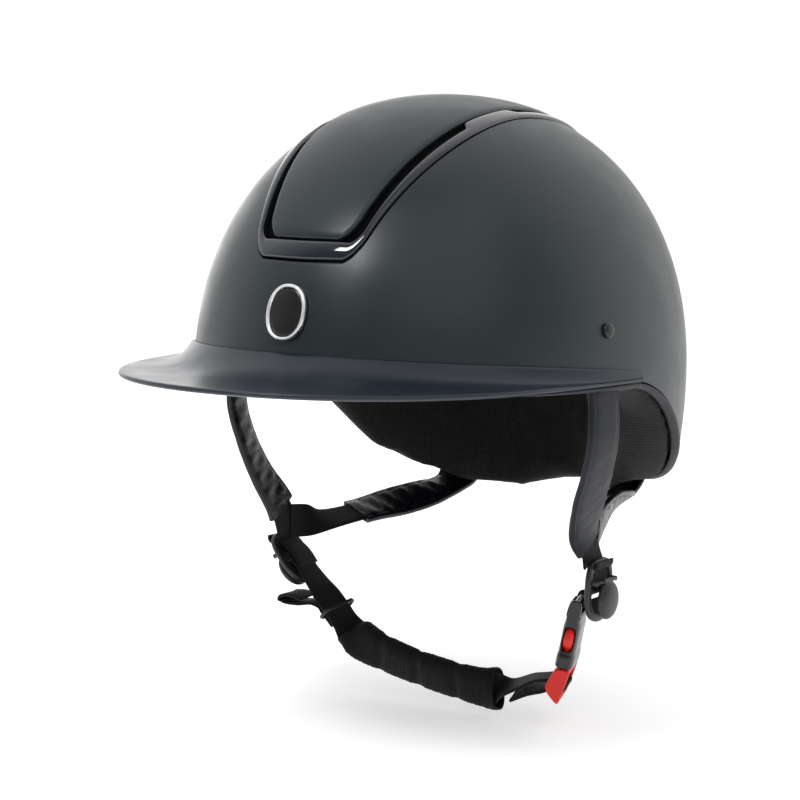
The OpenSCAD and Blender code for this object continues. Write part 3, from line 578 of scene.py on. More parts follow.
def loop(y0, y1, half, radius, stations, bar):
    """Closed outline, from the front right corner round by the rear, as plan points."""
    q = (1 - np.cos(np.linspace(0, np.pi, stations))) / 2
    ys = lerp(y0, y1, q)
    w = rounded(half(ys), radius, np.minimum(ys - y0, y1 - ys))
    side = [(-x, y) for x, y in zip(w, ys)]
    back = [(u * (half(np.array(y1)) - radius), y1) for u in np.linspace(-1, 1, bar + 2)[1:-1]]
    other = [(x, y) for x, y in zip(w[::-1], ys[::-1])]
    front = [(u * (half(np.array(y0)) - radius), y0) for u in np.linspace(1, -1, bar + 2)[1:-1]]
    return np.array([(float(x), float(y)) for x, y in side + back + other + front])


def shifted(plan, by):
    """Outline moved outwards by a distance."""
    t = np.roll(plan, -1, 0) - np.roll(plan, 1, 0)
    n = unit(np.stack([t[:, 1], -t[:, 0]], -1))
    out = plan + n * by
    if np.abs(out[:, 0]).max() < np.abs(plan[:, 0]).max():
        out = plan - n * by
    return out


# ---------------------------------------------------------------- shell
def make_shell():
    """Shell with a sunk floor under the trim and the panel, and a closed inner face."""
    base = loop(TRIM_Y0, TRIM_Y1, trim_half, CORNER_R, OUTLINE_STEPS, BAR_STEPS)
    cols, steps, floor_rows = len(base), 84, 15
    rows = []
    for by, d in ((0.35, GROOVE_FLOOR), (0.35, -0.45), (0.5, -0.12), (0.85, 0.0)):
        rows.append(bowed(*shifted(base, by).T, d))
    a = azimuth_of(rows[-1])
    z = rim_z(a)
    t0, t1 = row_of(rows[-1][:, 2]), row_of(z)
    for j in range(1, steps + 1):
        rows.append(ring_pt(a, 0.0, row_z(lerp(t0, t1, (j / steps) ** 0.96), 0.0)))
    rows += [ring_pt(a, d, z - 0.35) for d in (-0.5, -SHELL_T + 0.5)]
    rows += [ring_pt(a, -SHELL_T, row_z(lerp(t1, 0.97, j / 30), -SHELL_T)) for j in range(31)]
    verts = [p for r in rows for p in r]
    faces = grid_faces(len(rows), cols, close_cols=True)
    outside = len(faces)
    faces += fan_cap(verts, [(len(rows) - 1) * cols + j for j in range(cols)], flip=True)
    start = len(verts)
    for j in range(1, floor_rows + 1):
        plan = shifted(base, 0.35) * (1 - j / (floor_rows + 1))
        verts += list(bowed(*plan.T, GROOVE_FLOOR))
    for j in range(cols):
        k = (j + 1) % cols
        faces.append((k, start + k, start + j, j))
    faces += [tuple(reversed(f)) for f in grid_faces(floor_rows, cols, close_cols=True, base=start)]
    faces += fan_cap(verts, [start + (floor_rows - 1) * cols + j for j in range(cols)])
    # The groove's wall, the sunk floor and the caps take the black vent material: partly the dark liner under the
    # vents, partly painted shade.
    mats = [1] * cols + [0] * (outside - cols) + [1] * (len(faces) - outside)
    solid(
        "helmet_shell", verts, faces, ("shell", "dark"), "root", face_mats=mats, cad="outer_shell", slot="matt_navy",
        sharp=50,
    )


def make_trim():
    out = loop(TRIM_Y0, TRIM_Y1, trim_half, CORNER_R, OUTLINE_STEPS, BAR_STEPS)
    inn = loop(TRIM_Y0 + TRIM_BAR, TRIM_Y1 - TRIM_BAR, trim_inner, 4, OUTLINE_STEPS, BAR_STEPS)
    prof = [
        (0.0, FOOT), (0.0, 0.15), (0.03, 0.6), (0.10, 0.95), (0.22, 1.15), (0.5, 1.22), (0.76, 1.12), (0.88, 0.9),
        (0.96, 0.5), (1.0, 0.0), (1.0, FOOT),
    ]
    rings = [[bowed(*lerp(a, b, f), d) for f, d in prof] for a, b in zip(out, inn)]
    verts, faces = tube(rings, closed=True)
    solid("trim_frame_gloss", verts, faces, "gloss", "root", cad="trim_frame", slot="gloss_navy")


def make_panel():
    n, m = 150, 56
    ys = lerp(PANEL_Y0, PANEL_Y1, (1 - np.cos(np.linspace(0, np.pi, n))) / 2)
    us = np.sin(np.linspace(-np.pi / 2, np.pi / 2, m))
    w = rounded(panel_half(ys), CORNER_R, np.minimum(ys - PANEL_Y0, PANEL_Y1 - ys))
    X, Y = w[:, None] * us[None, :], np.repeat(ys[:, None], m, 1)
    dist = np.minimum((1 - np.abs(us))[None, :] * w[:, None], np.minimum(Y - PANEL_Y0, PANEL_Y1 - Y))
    e = np.clip(dist / 2.6, 0, 1)
    d = 1.2 - 1.3 * (1 - np.sqrt(np.maximum(0, 1 - (1 - e) ** 2)))
    top = bowed(X, Y, d).reshape(-1, 3)
    low = bowed(X, Y, np.full_like(X, FOOT)).reshape(-1, 3)
    verts = list(top) + list(low)
    faces = grid_faces(n, m)
    faces += [tuple(reversed(f)) for f in grid_faces(n, m, base=n * m)]
    near, far = list(range(m)), [(n - 1) * m + j for j in range(m - 2, -1, -1)]
    edge = near + [i * m + m - 1 for i in range(1, n)] + far + [i * m for i in range(n - 2, 0, -1)]
    for i in range(len(edge)):
        a, b = edge[i], edge[(i + 1) % len(edge)]
        faces.append((b, a, a + n * m, b + n * m))
    solid("centre_panel_matt", verts, faces, "shell", "root", cad="centre_panel", slot="matt_navy")


# ---------------------------------------------------------------- brim and rim
BRIM_EDGE, BRIM_T, BRIM_REACH, BRIM_SEAM, BRIM_END, BRIM_R = 7.8, 2.4, 56.0, 19.0, 86.0, 0.85


def profile_rings(angles, profile):
    """A section (distance from the dome, height) at each azimuth, set up round the dome."""
    out = []
    for a in angles:
        p = np.array(profile(a), float)
        out.append(ring_pt(np.full(len(p), a), p[:, 0], p[:, 1]))
    return out


def make_brim():
    def profile(a):
        c = math.cos(math.radians(a))
        reach = 2.5 + (BRIM_REACH - 2.5) * c**2.55
        seam = lerp(BRIM_EDGE + 0.6, BRIM_SEAM, c**0.6)
        top = lambda f: BRIM_EDGE + (seam - 0.4 - BRIM_EDGE) * (1 - f) ** 5
        out = lambda f: lerp(1.9, reach, f)
        pts = [(0.35, seam - 0.05), (0.7, seam + 0.02), (1.3, seam - 0.05), (1.7, seam - 0.22)]
        pts += [(out(f), top(f)) for f in np.linspace(0.0, 1, 26)[1:-1] ** 1.35]
        for q in np.radians(np.linspace(70, -90, 9)):
            pts.append((reach - BRIM_R + BRIM_R * math.cos(q), BRIM_EDGE - 1.0 + BRIM_R * math.sin(q) * 1.15))
        pts += [(out(f), top(f) - BRIM_T) for f in np.linspace(0.96, 0.16, 16)]
        pts += [(0.35, top(0.13) - BRIM_T)]
        return pts

    angles = np.concatenate(
        [np.linspace(-BRIM_END, -80, 10)[:-1], np.linspace(-80, 80, 220), np.linspace(80, BRIM_END, 10)[1:]]
    )
    rings = profile_rings(angles, profile)
    verts, faces = tube(rings)
    m = len(rings[0])
    under = set(range(37, m))
    mats = []
    for f in faces:
        k = [i % m for i in f[:4]] if max(f) < len(rings) * m else [0]
        mats.append(1 if all(i in under for i in k) else 0)
    solid(
        "wide_brim", verts, faces, ("brim", "under"), "root", face_mats=mats, cad="brim", slot="matt_navy", sharp=50,
    )


def make_bead():
    def profile(a):
        z = float(rim_z(a))
        pts = [(-3.9, z - 0.75), (-3.95, z - 1.6)]
        pts += [
            (-1.9 + 2.15 * math.cos(q), z - 1.9 + 1.35 * math.sin(q)) for q in np.radians(np.linspace(200, 340, 9))
        ]
        pts += [(0.35, z - 1.5), (0.42, z - 1.0), (0.1, z - 0.75)]
        return pts

    verts, faces = tube(profile_rings(np.linspace(0, 360, 300, endpoint=False), profile), closed=True)
    solid("rim_bead", verts, faces, "bead", "root", cad="rim_trim", slot="rim_edge", sharp=50)


# ---------------------------------------------------------------- liner
def pocket(a, z):
    """Depth of the foam's pockets for the strap ends."""
    s = np.abs(np.where(a > 180, a - 360, a))
    depth = 0
    for anchor in (FRONT_ANCHOR, REAR_ANCHOR):
        near = smooth((13.5 - np.abs(s - anchor[0])) / 3)
        low = smooth((anchor[1] + 36 - z) / 6)
        depth = np.maximum(depth, 7.0 * near * low)
    return depth


def make_foam():
    cols, steps = 260, 40
    a = np.linspace(0, 360, cols, endpoint=False)
    t0 = row_of(rim_z(a) + 3)
    z0 = row_z(t0, 0)
    levels = [lerp(t0, 0.985, j / steps) for j in range(steps + 1)]
    outer = []
    for t in levels[::-1]:
        d = -SHELL_T - 0.8 - pocket(a, row_z(t, 0))
        outer.append(ring_pt(a, d, row_z(t, d)))
    low = []
    for dd, dz in ((-6.4, -0.9), (-9, -1.0), (-14, -1.0), (-20, -0.9), (-23.2, -0.3)):
        low.append(ring_pt(a, np.minimum(dd, -SHELL_T - 0.8 - pocket(a, z0) - 0.3), z0 + dz + 0.9))
    allr = outer + low + [ring_pt(a, -FOAM_IN, row_z(t, -FOAM_IN)) for t in levels]
    verts = [p for r in allr for p in r]
    faces = grid_faces(len(allr), cols, close_cols=True)
    mats = [0] * (cols * (steps - 1)) + [1] * (cols * (len(allr) - steps))
    for ring, flip in ((list(range(cols)), False), ([(len(allr) - 1) * cols + j for j in range(cols)], True)):
        cap = fan_cap(verts, ring, flip=flip)
        faces += cap
        mats += [1 if flip else 0] * len(cap)
    solid(
        "foam_liner", verts, faces, ("foam", "textile"), "root", face_mats=mats, cad="eps_liner", slot="foam_black",
        sharp=55,
    )


def puff(obj, cap, voxel=2.3):
    """Swells a pad by a cloth simulation with pressure inside; no point moves more than cap millimetres.
    """
    modified(obj, ("REMESH", {"mode": "VOXEL", "voxel_size": voxel * MM}))
    count = len(obj.data.vertices)
    rest = np.empty(count * 3)
    obj.data.vertices.foreach_get("co", rest)
    m = obj.modifiers.new("cloth", "CLOTH")
    m.settings.quality = 4
    m.settings.mass = 0.15
    m.settings.use_pressure = True
    m.settings.uniform_pressure_force = 4
    m.settings.effector_weights.gravity = 0
    m.collision_settings.use_collision = False
    m.point_cache.frame_start, m.point_cache.frame_end = 1, CLOTH_FRAMES
    for f in range(1, CLOTH_FRAMES + 1):
        bpy.context.scene.frame_set(f)
    swollen = obj.evaluated_get(bpy.context.evaluated_depsgraph_get()).data
    moved = np.empty(count * 3)
    swollen.vertices.foreach_get("co", moved)
    obj.modifiers.remove(m)
    bpy.context.scene.frame_set(1)
    step = (moved - rest).reshape(-1, 3)
    far = np.linalg.norm(step, axis=1, keepdims=True)
    step *= np.minimum(1, cap * MM / np.maximum(far, 1e-9))
    obj.data.vertices.foreach_set("co", (rest.reshape(-1, 3) + step).ravel())
    obj.data.update()
    modified(obj, ("SMOOTH", {"factor": 0.5, "iterations": 3}), ("SUBSURF", {"levels": 1, "render_levels": 1}))
    obj.data.shade_smooth()


def soft_section(points):
    """Rounds a closed section by cutting its corners twice."""
    p = np.asarray(points, float)
    for _ in range(2):
        q = np.roll(p, -1, 0)
        p = np.stack([0.75 * p + 0.25 * q, 0.25 * p + 0.75 * q], 1).reshape(-1, p.shape[1])
    return p


def cushion(name, part, cad, swell=CUSHION_SWELL):
    """A soft pad that stands for a CAD pad."""
    o = solid(name, *part, "textile", "root", cad=cad, slot="textile", sharp=0)
    puff(o, swell)


PAD_OUT = -FOAM_IN - 2
PAD_IN = PAD_OUT - PAD_T


def box_section(low, high):
    return [
        (PAD_OUT, low), (PAD_OUT - 1.5, low - 0.4), (PAD_IN + 1, low), (PAD_IN, low + 3), (PAD_IN, (low + high) / 2),
        (PAD_IN, high - 3), (PAD_IN + 1, high), (PAD_OUT - 1.5, high + 0.4), (PAD_OUT, high),
    ]


def make_pad(name, a0, a1, steps, low, high, node_name):
    section = soft_section(box_section(low, high))
    cushion(name, tube(profile_rings(np.linspace(a0, a1, steps), lambda a: section)), node_name)


def notch(a):
    """Share of the dent that the pad has where a rear strap comes out."""
    return smooth((18 - np.abs(np.abs(a - 180) - (180 - REAR_ANCHOR[0]))) / 6)


NAPE_DROP = (
    (107, 7), (150, 7), (164, 4), (174, 6), (188, 12), (210, 11.5), (221, 8.5), (236, 11), (244, 16), (262, 14),
)


def make_nape():
    """Nape pad whose wings run forward under the foam's edge, over the ears."""

    def profile(a):
        z, k = float(rim_z(a)), float(notch(a))
        side = min(a, 360 - a)
        drop = float(np.interp(a, *zip(*NAPE_DROP)))
        share = float(smooth((side - 100) / 10))
        nape = [
            (PAD_OUT, z + 1.2), (-5.2 - 11.8 * k, z + 1.2), (-4.4 - 13.6 * k, z - 3 + k),
            (-10 - 10.5 * k, z - 6 + 3 * k), (PAD_IN + 8, z - drop), (PAD_IN + 3, z - drop + 0.4),
            (PAD_IN, z - drop + 5), (PAD_IN, z + 8), (PAD_IN, 4), (PAD_IN + 1, 8), (PAD_OUT, 8),
        ]
        wing = [
            (-22, z + 1.2), (-5.2, z + 1.2), (-4.4, z - 1.5), (-6.5, z - 4), (-14, z - 5.2), (-20, z - 5),
            (-25, z - 2.5), (-25.2, z - 1), (-25.2, z + 0.4), (-24.8, z + 1.2), (-23, z + 1.2),
        ]
        return soft_section([tuple(lerp(np.array(w), np.array(n), share)) for w, n in zip(wing, nape)])

    cushion("nape_pad_soft", tube(profile_rings(np.linspace(83, 277, 210), profile)), "nape_pad", NAPE_SWELL)


def make_crown():
    levels = (
        (0.62, PAD_OUT), (0.75, PAD_OUT), (0.97, PAD_OUT), (0.985, PAD_OUT - 2.5),
        (0.95, PAD_IN), (0.78, PAD_IN - 0.8), (0.64, PAD_IN), (0.605, PAD_OUT - 2.5),
    )
    rings = []
    for a in np.linspace(0, 360, 120, endpoint=False):
        rings.append(soft_section([ring_pt(a, d, row_z(t, d)) for t, d in levels]))
    cushion("crown_pad_soft", tube(rings, closed=True), "crown_pad")


# ---------------------------------------------------------------- badge and rivets
def placed(verts, at, n):
    """Turns a shape drawn about +Z so that it stands on the dome at a point with normal n."""
    tilt = math.acos(max(-1, min(1, n[2])))
    turn = Matrix.Rotation(math.atan2(n[1], n[0]), 3, "Z") @ Matrix.Rotation(tilt, 3, "Y")
    return np.asarray(verts) @ np.array(turn).T + at


def make_badge():
    at = ring_pt(0.0, 0.0, 36.0)
    n = dome_normal(at)

    def oval(inset, z):
        return level(superellipse(96, 12.5 - inset, 10 - inset, 0.9), z)

    prof = [
        (0.15, 0.35), (0.0, 0.7), (0.0, 1.7), (0.2, 2.25), (0.65, 2.55), (1.15, 2.5), (1.6, 2.1), (1.8, 1.6),
        (1.8, 0.5),
    ]
    rings = np.array([oval(i, z) for i, z in prof]).transpose(1, 0, 2)
    verts, faces = tube(list(rings), closed=True)
    solid("badge_ring", placed(verts, at, n), faces, "chrome", "root", cad="badge_rim", slot="metal")
    rows = [oval(2.0, 0.5), oval(2.0, 1.35)] + [
        oval(2.0 + 8.0 * f * 0.98, 1.5 + 0.45 * math.sin(f * math.pi / 2)) for f in np.linspace(0.03, 1, 10)
    ]
    verts, faces = tube(rows)
    solid(
        "badge_dark_field", placed(verts, at, n), faces, "field", "root", cad="badge_face", slot="plastic_black",
        sharp=50,
    )


def make_rivets():
    prof = [
        (0, -10.4), (1.6, -10.4), (1.6, 0.3), (3.1, 0.35), (3.45, 0.6), (3.5, 1.0), (3.35, 1.35), (2.9, 1.65),
        (2.0, 1.85), (1.0, 1.93), (0, 1.95),
    ]
    for anchor, cad in ((FRONT_ANCHOR, "front_rivets"), (REAR_ANCHOR, "rear_rivets")):
        parts = []
        for side in (1, -1):
            at = ring_pt(side * anchor[0], 0.0, anchor[1])
            v, f = lathe(prof, 40)
            parts.append((placed(v, at, dome_normal(at)), f))
        verts, faces = merged(parts)
        solid(cad + "_domed", verts, faces, "glossy", "root", cad=cad, slot="plastic_black", sharp=45)


# ---------------------------------------------------------------- straps
def spline(p, u):
    p = np.asarray(p, float)
    n = len(p) - 1
    u = np.clip(np.asarray(u, float), 0, n)
    i = np.minimum(np.floor(u).astype(int), n - 1)
    f = (u - i)[:, None]
    a, b, c, d = p[np.maximum(i - 1, 0)], p[i], p[i + 1], p[np.minimum(i + 2, n)]
    return 0.5 * (2 * b + (c - a) * f + (2 * a - 5 * b + 4 * c - d) * f * f + (3 * b - a - 3 * c + d) * f**3)


def frames(path, across, u0, u1, step):
    """Places, lengthwise, sideways and upwards directions every step millimetres along a strap."""
    dense = np.linspace(u0, u1, 900)
    pts = spline(path, dense)
    s = np.concatenate([[0], np.cumsum(np.linalg.norm(np.diff(pts, axis=0), axis=1))])
    count = max(3, int(s[-1] / step) + 1)
    us = np.interp(np.linspace(0, s[-1], count), s, dense)
    here = spline(path, us)
    along = unit(spline(path, us + 0.02) - spline(path, us - 0.02))
    guide = spline(across, us)
    side = unit(guide - (guide * along).sum(1, keepdims=True) * along)
    return here, along, side, np.cross(along, side), np.linspace(0, s[-1], count)


def flat_section(w, t, n=10, crown=0.0, edge=0.5):
    """Closed section of a flat strap: points (sideways, upwards), with rounded edges."""
    top = [(x, t / 2 + crown * (1 - (2 * x / w) ** 2)) for x in np.linspace(-w / 2 + edge, w / 2 - edge, n)]
    right = [(w / 2, t * 0.22), (w / 2, -t * 0.22)]
    low = [(x, -t / 2 - crown * (1 - (2 * x / w) ** 2)) for x in np.linspace(w / 2 - edge, -w / 2 + edge, n)]
    left = [(-w / 2, -t * 0.22), (-w / 2, t * 0.22)]
    return np.array(top + right + low + left)


def sweep(name, path, across, u0, u1, section, mats, body, step=1.2, inner=None, wrinkle=None, **kw):
    """A strap, solid or a sleeve with an inner section. section and inner take the share of the length."""
    here, along, side, up, s = frames(path, across, u0, u1, step)
    n = len(here)

    def rings(fn, bump_fn=None):
        out = []
        for i in range(n):
            q = fn(i / (n - 1))
            if bump_fn is not None:
                q = bump_fn(q, i / (n - 1), s[i])
            out.append(here[i] + q[:, :1] * side[i] + q[:, 1:] * up[i])
        return out

    outer = rings(section, wrinkle)
    m = len(outer[0])
    width = section(0.5)
    girth = np.concatenate([[0], np.cumsum(np.linalg.norm(np.diff(np.vstack([width, width[:1]]), axis=0), axis=1))])
    uvs = []
    for i in range(n - 1):
        for j in range(m):
            uvs.append(((s[i], girth[j]), (s[i + 1], girth[j]), (s[i + 1], girth[j + 1]), (s[i], girth[j + 1])))
    if inner is None:
        verts, faces = tube(outer)
        mats_of = [0] * len(faces)
        for f in faces[len(uvs):]:
            uvs.append(tuple((0.0, float(k)) for k in range(len(f))))
    else:
        inn = rings(inner)
        verts = [p for r in outer for p in r] + [p for r in inn for p in r]
        faces = grid_faces(n, m, close_cols=True)
        mats_of = [0] * len(faces)
        base = n * m
        back = [tuple(reversed(f)) for f in grid_faces(n, m, close_cols=True, base=base)]
        faces += back
        mats_of += [1] * len(back)
        uvs += [tuple(reversed(q)) for q in uvs]
        for j in range(m):
            k, e = (j + 1) % m, (n - 1) * m
            faces.append((j, k, base + k, base + j))
            faces.append((e + k, e + j, base + e + j, base + e + k))
            mats_of += [0, 0]
            uvs += [tuple((0.0, float(q)) for q in range(4))] * 2
    if not isinstance(mats, str):
        kw["face_mats"] = mats_of
    return solid(name, verts, faces, mats, body, uvs=uvs, **kw)


def stitches(name, path, across, u0, u1, offsets, mat, body, pitch=2.6, length=1.9, r=0.2):
    """Rows of stitches that lie on a strap; offsets are (sideways, upwards) for each row."""
    here, along, side, up, s = frames(path, across, u0, u1, pitch)
    parts = []
    prof = [(0.0, -0.5), (0.62, -0.46), (1.0, -0.25), (1.0, 0.25), (0.62, 0.46), (0.0, 0.5)]
    base_v, base_f = lathe([(r * a, length * b) for a, b in prof], 6)
    for i in range(1, len(here) - 1):
        for x, y in offsets:
            axis = np.stack([side[i], up[i], along[i]], 0)
            v = base_v * np.array([1, 0.7, 1]) @ axis + here[i] + x * side[i] + y * up[i]
            parts.append(right_way((v, base_f)))
    verts, faces = merged(parts)
    collect(name, verts, faces, mat, body, sharp=0)


def under_shell(azimuth, levels):
    return [ring_pt(azimuth, -STRAP_DEPTH, z) for z in levels]


def bar_loop(bar, side, start, stop, step):
    turns = np.radians(range(start, stop + 1, step))
    return [bar + LOOP_R * np.array([-side * math.cos(q), 0, -math.sin(q)]) for q in turns]


def turn_buckle(v):
    v = np.asarray(v, float)
    x = v[..., 0] * math.cos(YAW) - v[..., 1] * math.sin(YAW)
    y = v[..., 0] * math.sin(YAW) + v[..., 1] * math.cos(YAW)
    z = v[..., 2]
    return np.stack([x * math.cos(TILT) + z * math.sin(TILT), y, z * math.cos(TILT) - x * math.sin(TILT)], -1)


def on_buckle(v):
    return MOUTH + turn_buckle(v)


def on_right(w, v):
    c, s = math.cos(DIV_TILT), math.sin(DIV_TILT)
    return RIGHT_DIV + np.array([w * c - v * s, 0, w * s + v * c])


Y1 = [0, 1, 0]
ACROSS_BUCKLE = turn_buckle([0, 1, 0])
LEFT_BAR = LEFT_DIV + np.array([0, 0, BAR_UP])


def arc(start, stop, step):
    return [math.radians(q) for q in range(start, stop + (1 if step > 0 else -1), step)]


def tongue_loop(start, stop):
    return [on_buckle([-LOOP_R * math.cos(q), 0, TONGUE_BAR + LOOP_R * math.sin(q)]) for q in arc(start, stop, 40)]


FRONT_LEFT = (
    under_shell(FRONT_ANCHOR[0], [44, 24])
    + [ring_pt(77.4, -5.6, 1)]
    + [[102.0, -32.0, -19], [97.4, -27.6, -35], [89, -17.6, -51], [81, -5, -67], [81.3, 1, -77]]
    + bar_loop(LEFT_BAR, 1, 0, 200, 40)
)
FRONT_LEFT_ACROSS = [[0.18, 0.98, 0]] * 2 + [[0.1, 0.99, 0]] * 2 + [
    [0.08, 0.99, 0], [0.06, 1, 0], [0.02, 1, 0.05], Y1,
] + [Y1] * 6
FRONT_RIGHT = (
    under_shell(-FRONT_ANCHOR[0], [44, 24])
    + [ring_pt(-76.6, -5.6, 1)]
    + [[-101.4, -34, -18], [-98.2, -29.4, -38], [-95, -20.6, -56], [-91.5, -10, -72], [-90.6, -4, -84]]
    + bar_loop(SWING, -1, 0, 200, 40)
)
FRONT_RIGHT_ACROSS = [[-0.18, 0.98, 0]] * 2 + [[-0.28, 0.96, 0]] * 3 + [
    [-0.22, 0.98, 0.05], [-0.07, 1, 0.05], Y1,
] + [Y1] * 6
REAR_LEFT = under_shell(REAR_ANCHOR[0], [-16, -36, -54]) + [
    [49.5, 91, -66], [58.5, 70.5, -66], [66, 49.5, -66], [72, 28, -69.5], [75.4, 10, -76.5], [76.9, 2, -79.5],
]
REAR_LEFT_ACROSS = [[0.8, -0.6, 0]] * 3 + [
    [1, -0.2, 0.3], [0.8, 0.2, 0.7], [0.4, 0.2, 0.9], [0.3, -0.3, 0.9], [0.2, -0.6, 0.8], [0, -0.1, 1],
]
REAR_RIGHT = under_shell(-REAR_ANCHOR[0], [-16, -36, -54]) + [
    [-49, 95, -66.5], [-54, 75, -72], [-62.5, 56, -76], [-70, 36, -79], [-79, 15, -82], [-85.5, 5, -82],
    [-88.4, -4, -81.5],
]
REAR_RIGHT_ACROSS = (
    [[0.8, 0.6, 0]] * 3
    + [[0.95, 0.3, 0.1], [0.93, 0.1, -0.2], [0.9, -0.1, -0.35], [0.88, -0.25, -0.25]]
    + [[0.8, -0.3, -0.4], [0.4, 0, -0.9], [0.1, 0.1, -1]]
)
LOWER_LEFT = (
    [LEFT_DIV + LOOP_R * np.array([-math.cos(q), 0, math.sin(q)]) for q in arc(180, 20, -40)]
    + [[81.3, 1.6, -96.5]]
    + [on_buckle([LOOP_R * math.cos(q), 0, HOUSING_BAR - LOOP_R * math.sin(q)]) for q in arc(-20, 180, 40)]
)
LOWER_LEFT_ACROSS = [Y1] * 5 + [[-0.1, 0.99, 0], [-0.2, 0.98, 0]] + [ACROSS_BUCKLE] * 5
CHIN = (
    [on_right(LOOP_R * math.cos(q), LOOP_R * math.sin(q)) for q in arc(200, 0, -40)]
    + [
        on_right(3.1, -8), [-70.5, -4, -111], [-64, -4.5, -117], [-57.5, -5, -123], [-51.5, -5, -129.5],
        [-44, -5, -136],
    ]
    + [[-26, -5, -142], [0, -5, -147], [28, -4.5, -150], [42, -4.2, -148], [56, -3.2, -141.5]]
    + tongue_loop(60, 140)
)
CHIN_ACROSS = (
    [Y1] * 7
    + [[0.08, 0.98, 0.1], [0.2, 0.95, 0.25], [0.2, 0.95, 0.25], [0.2, 0.85, 0.3], [0.2, 0.2, 0.8]]
    + [[0.1, -0.35, 0.92], [0, -0.45, 0.9], [0, -0.3, 0.95], [0.1, 0.6, 0.65], [-0.25, 0.95, 0.1]]
    + [ACROSS_BUCKLE] * 3
)
ADJUSTER = tongue_loop(160, 320) + [[60.5, -2.2, -145.6], [53, -3.6, -147.6], [46, -4, -150.5]]
ADJUSTER_ACROSS = [ACROSS_BUCKLE] * 5 + [[-0.4, 0.9, 0.03], [-0.4, 0.9, 0.1], [-0.3, 0.9, 0.2]]
TAIL = [
    [-54.4, -4.3, -129.2], [-59, -4.3, -124.6], [-63.3, -4.3, -121.2], [-68.5, -5.5, -120.2], [-76, -7, -121.6],
    [-83, -8, -121.3], [-85.6, -8.5, -119.4], [-83.5, -9, -117.6], [-78.5, -9, -117.2], [-73.5, -8.5, -118.4],
]
TAIL_ACROSS = [[0.2, 0.95, 0.25], [0.2, 0.95, 0.25], [0.2, 0.95, 0.2], [0.1, 1, 0.1]] + [Y1] * 6
PAD_SPAN = (10.8, 14.6)
KEEPER_AT = 9.0


def sleeve_section(f):
    """Padded sleeve: full in the middle, pressed thin along its stitched edges."""
    w, t = SLEEVE_W, WEB_T + 2.5
    xs = np.linspace(-w / 2 + 0.5, w / 2 - 0.5, 25)
    e = np.abs(xs) / (w / 2)
    h = t / 2 * (0.62 + 0.38 * (1 - e**4)) - 0.28 * np.exp(-(((np.abs(xs) - (w / 2 - 2.6)) / 0.5) ** 2))
    top = np.stack([xs, h], -1)
    low = np.stack([xs[::-1], -h[::-1]], -1)
    right = np.array([(w / 2, h[-1] * 0.5), (w / 2, -h[-1] * 0.5)])
    left = -right
    return np.vstack([top, right, low, left])


def sleeve_inner(f):
    w, t = WEB_W + 1.6, WEB_T + 1.0
    return flat_section(w, t, 25, 0, 0.4)


def ribbon(name, path, across, body="chin_strap", width=WEB_W - 1, thick=WEB_T, step=0.9, cad=None):
    """Webbing along the whole of a path."""
    section = flat_section(width, thick)
    sweep(name, path, across, 0, len(path) - 1, lambda f: section, "webbing", body, step, cad=cad, slot="webbing")


def make_straps():
    sets = (
        ("front_left", FRONT_LEFT, FRONT_LEFT_ACROSS, 1.8, 6.6, 0.4, "hide"),
        ("front_right", FRONT_RIGHT, FRONT_RIGHT_ACROSS, 1.8, 6.2, 1.4, "hide_gloss"),
        ("rear_left", REAR_LEFT, REAR_LEFT_ACROSS, 1.6, 6.4, 1.4, "hide_gloss"),
        ("rear_right", REAR_RIGHT, REAR_RIGHT_ACROSS, 1.6, 6.2, 2.2, "hide_gloss"),
    )
    for k, (key, path, across, s0, s1, amount, cover) in enumerate(sets):
        side = key.split("_")

        def crease(q, f, s, k=k, amount=amount):
            skew = q[:, 0] * 0.055
            wave = 0.11 * amount * (np.sin(s * 0.62 + k + 3 * skew) + 0.7 * np.sin(s * 1.27 + 2 * k - 5 * skew))
            edge = np.abs(q[:, 0]) / (SLEEVE_W / 2)
            out = q.copy()
            out[:, 1] += wave * (1 - edge**4) * np.sign(q[:, 1])
            return out

        outside = (cover, "hide_gloss")
        sweep(
            f"sleeve_{key}", path, across, s0, s1, sleeve_section, outside, "root", 1.3, inner=sleeve_inner,
            wrinkle=crease, cad=f"{side[0]}_sleeve_{side[1]}", slot="hide_navy",
        )
        x, y = SLEEVE_W / 2 - SEAM_INSET, (WEB_T + 2.5) / 2 * 0.76
        rows = [(x, y), (-x, y), (x, -y), (-x, -y)]
        stitches(f"stitching_{key}", path, across, s0 + 0.03, s1 - 0.03, rows, "thread", "root")
        ribbon(f"webbing_{key}", path, across, "root", WEB_W, cad=f"{side[0]}_webbing_{side[1]}")
    ribbon("webbing_lower_left", LOWER_LEFT, LOWER_LEFT_ACROSS, "root", WEB_W - 4, step=0.5, cad="lower_webbing_left")
    visible = list(CHIN_ACROSS)
    visible[15], visible[16] = [-0.3, 0.85, 0.25], [-0.42, 0.9, 0.0]
    ribbon("webbing_chin", CHIN, visible, cad="chin_webbing")
    ribbon("webbing_adjuster", ADJUSTER, ADJUSTER_ACROSS, step=0.6, cad="adjuster_strand")
    ribbon("webbing_free_end", TAIL, TAIL_ACROSS, step=0.7, cad="strap_tail")
    flap = {"thick": 1.2, "step": 0.8}
    runs = (((0.2, 10.9), (0.0, 7.4), (-0.2, 3.9)), ((0.3, -3.9), (0.0, -7.5), (-0.2, -11.4)))
    for k, run in enumerate(runs):
        left = [LEFT_DIV + np.array([-w, 0, v]) for w, v in run]
        ribbon(f"webbing_inlay_left_{k}", left, [Y1] * 3, "root", **flap)
        ribbon(f"webbing_inlay_right_{k}", [on_right(*at) for at in run], [Y1] * 3, **flap)
    cover = [on_right(w, v) for w, v in ((2.3, 9.4), (3.0, 6.0), (4.3, 2.0), (4.9, -2.0), (4.9, -7.5))]
    ribbon("webbing_cover_right", cover, [Y1] * 5, **flap)


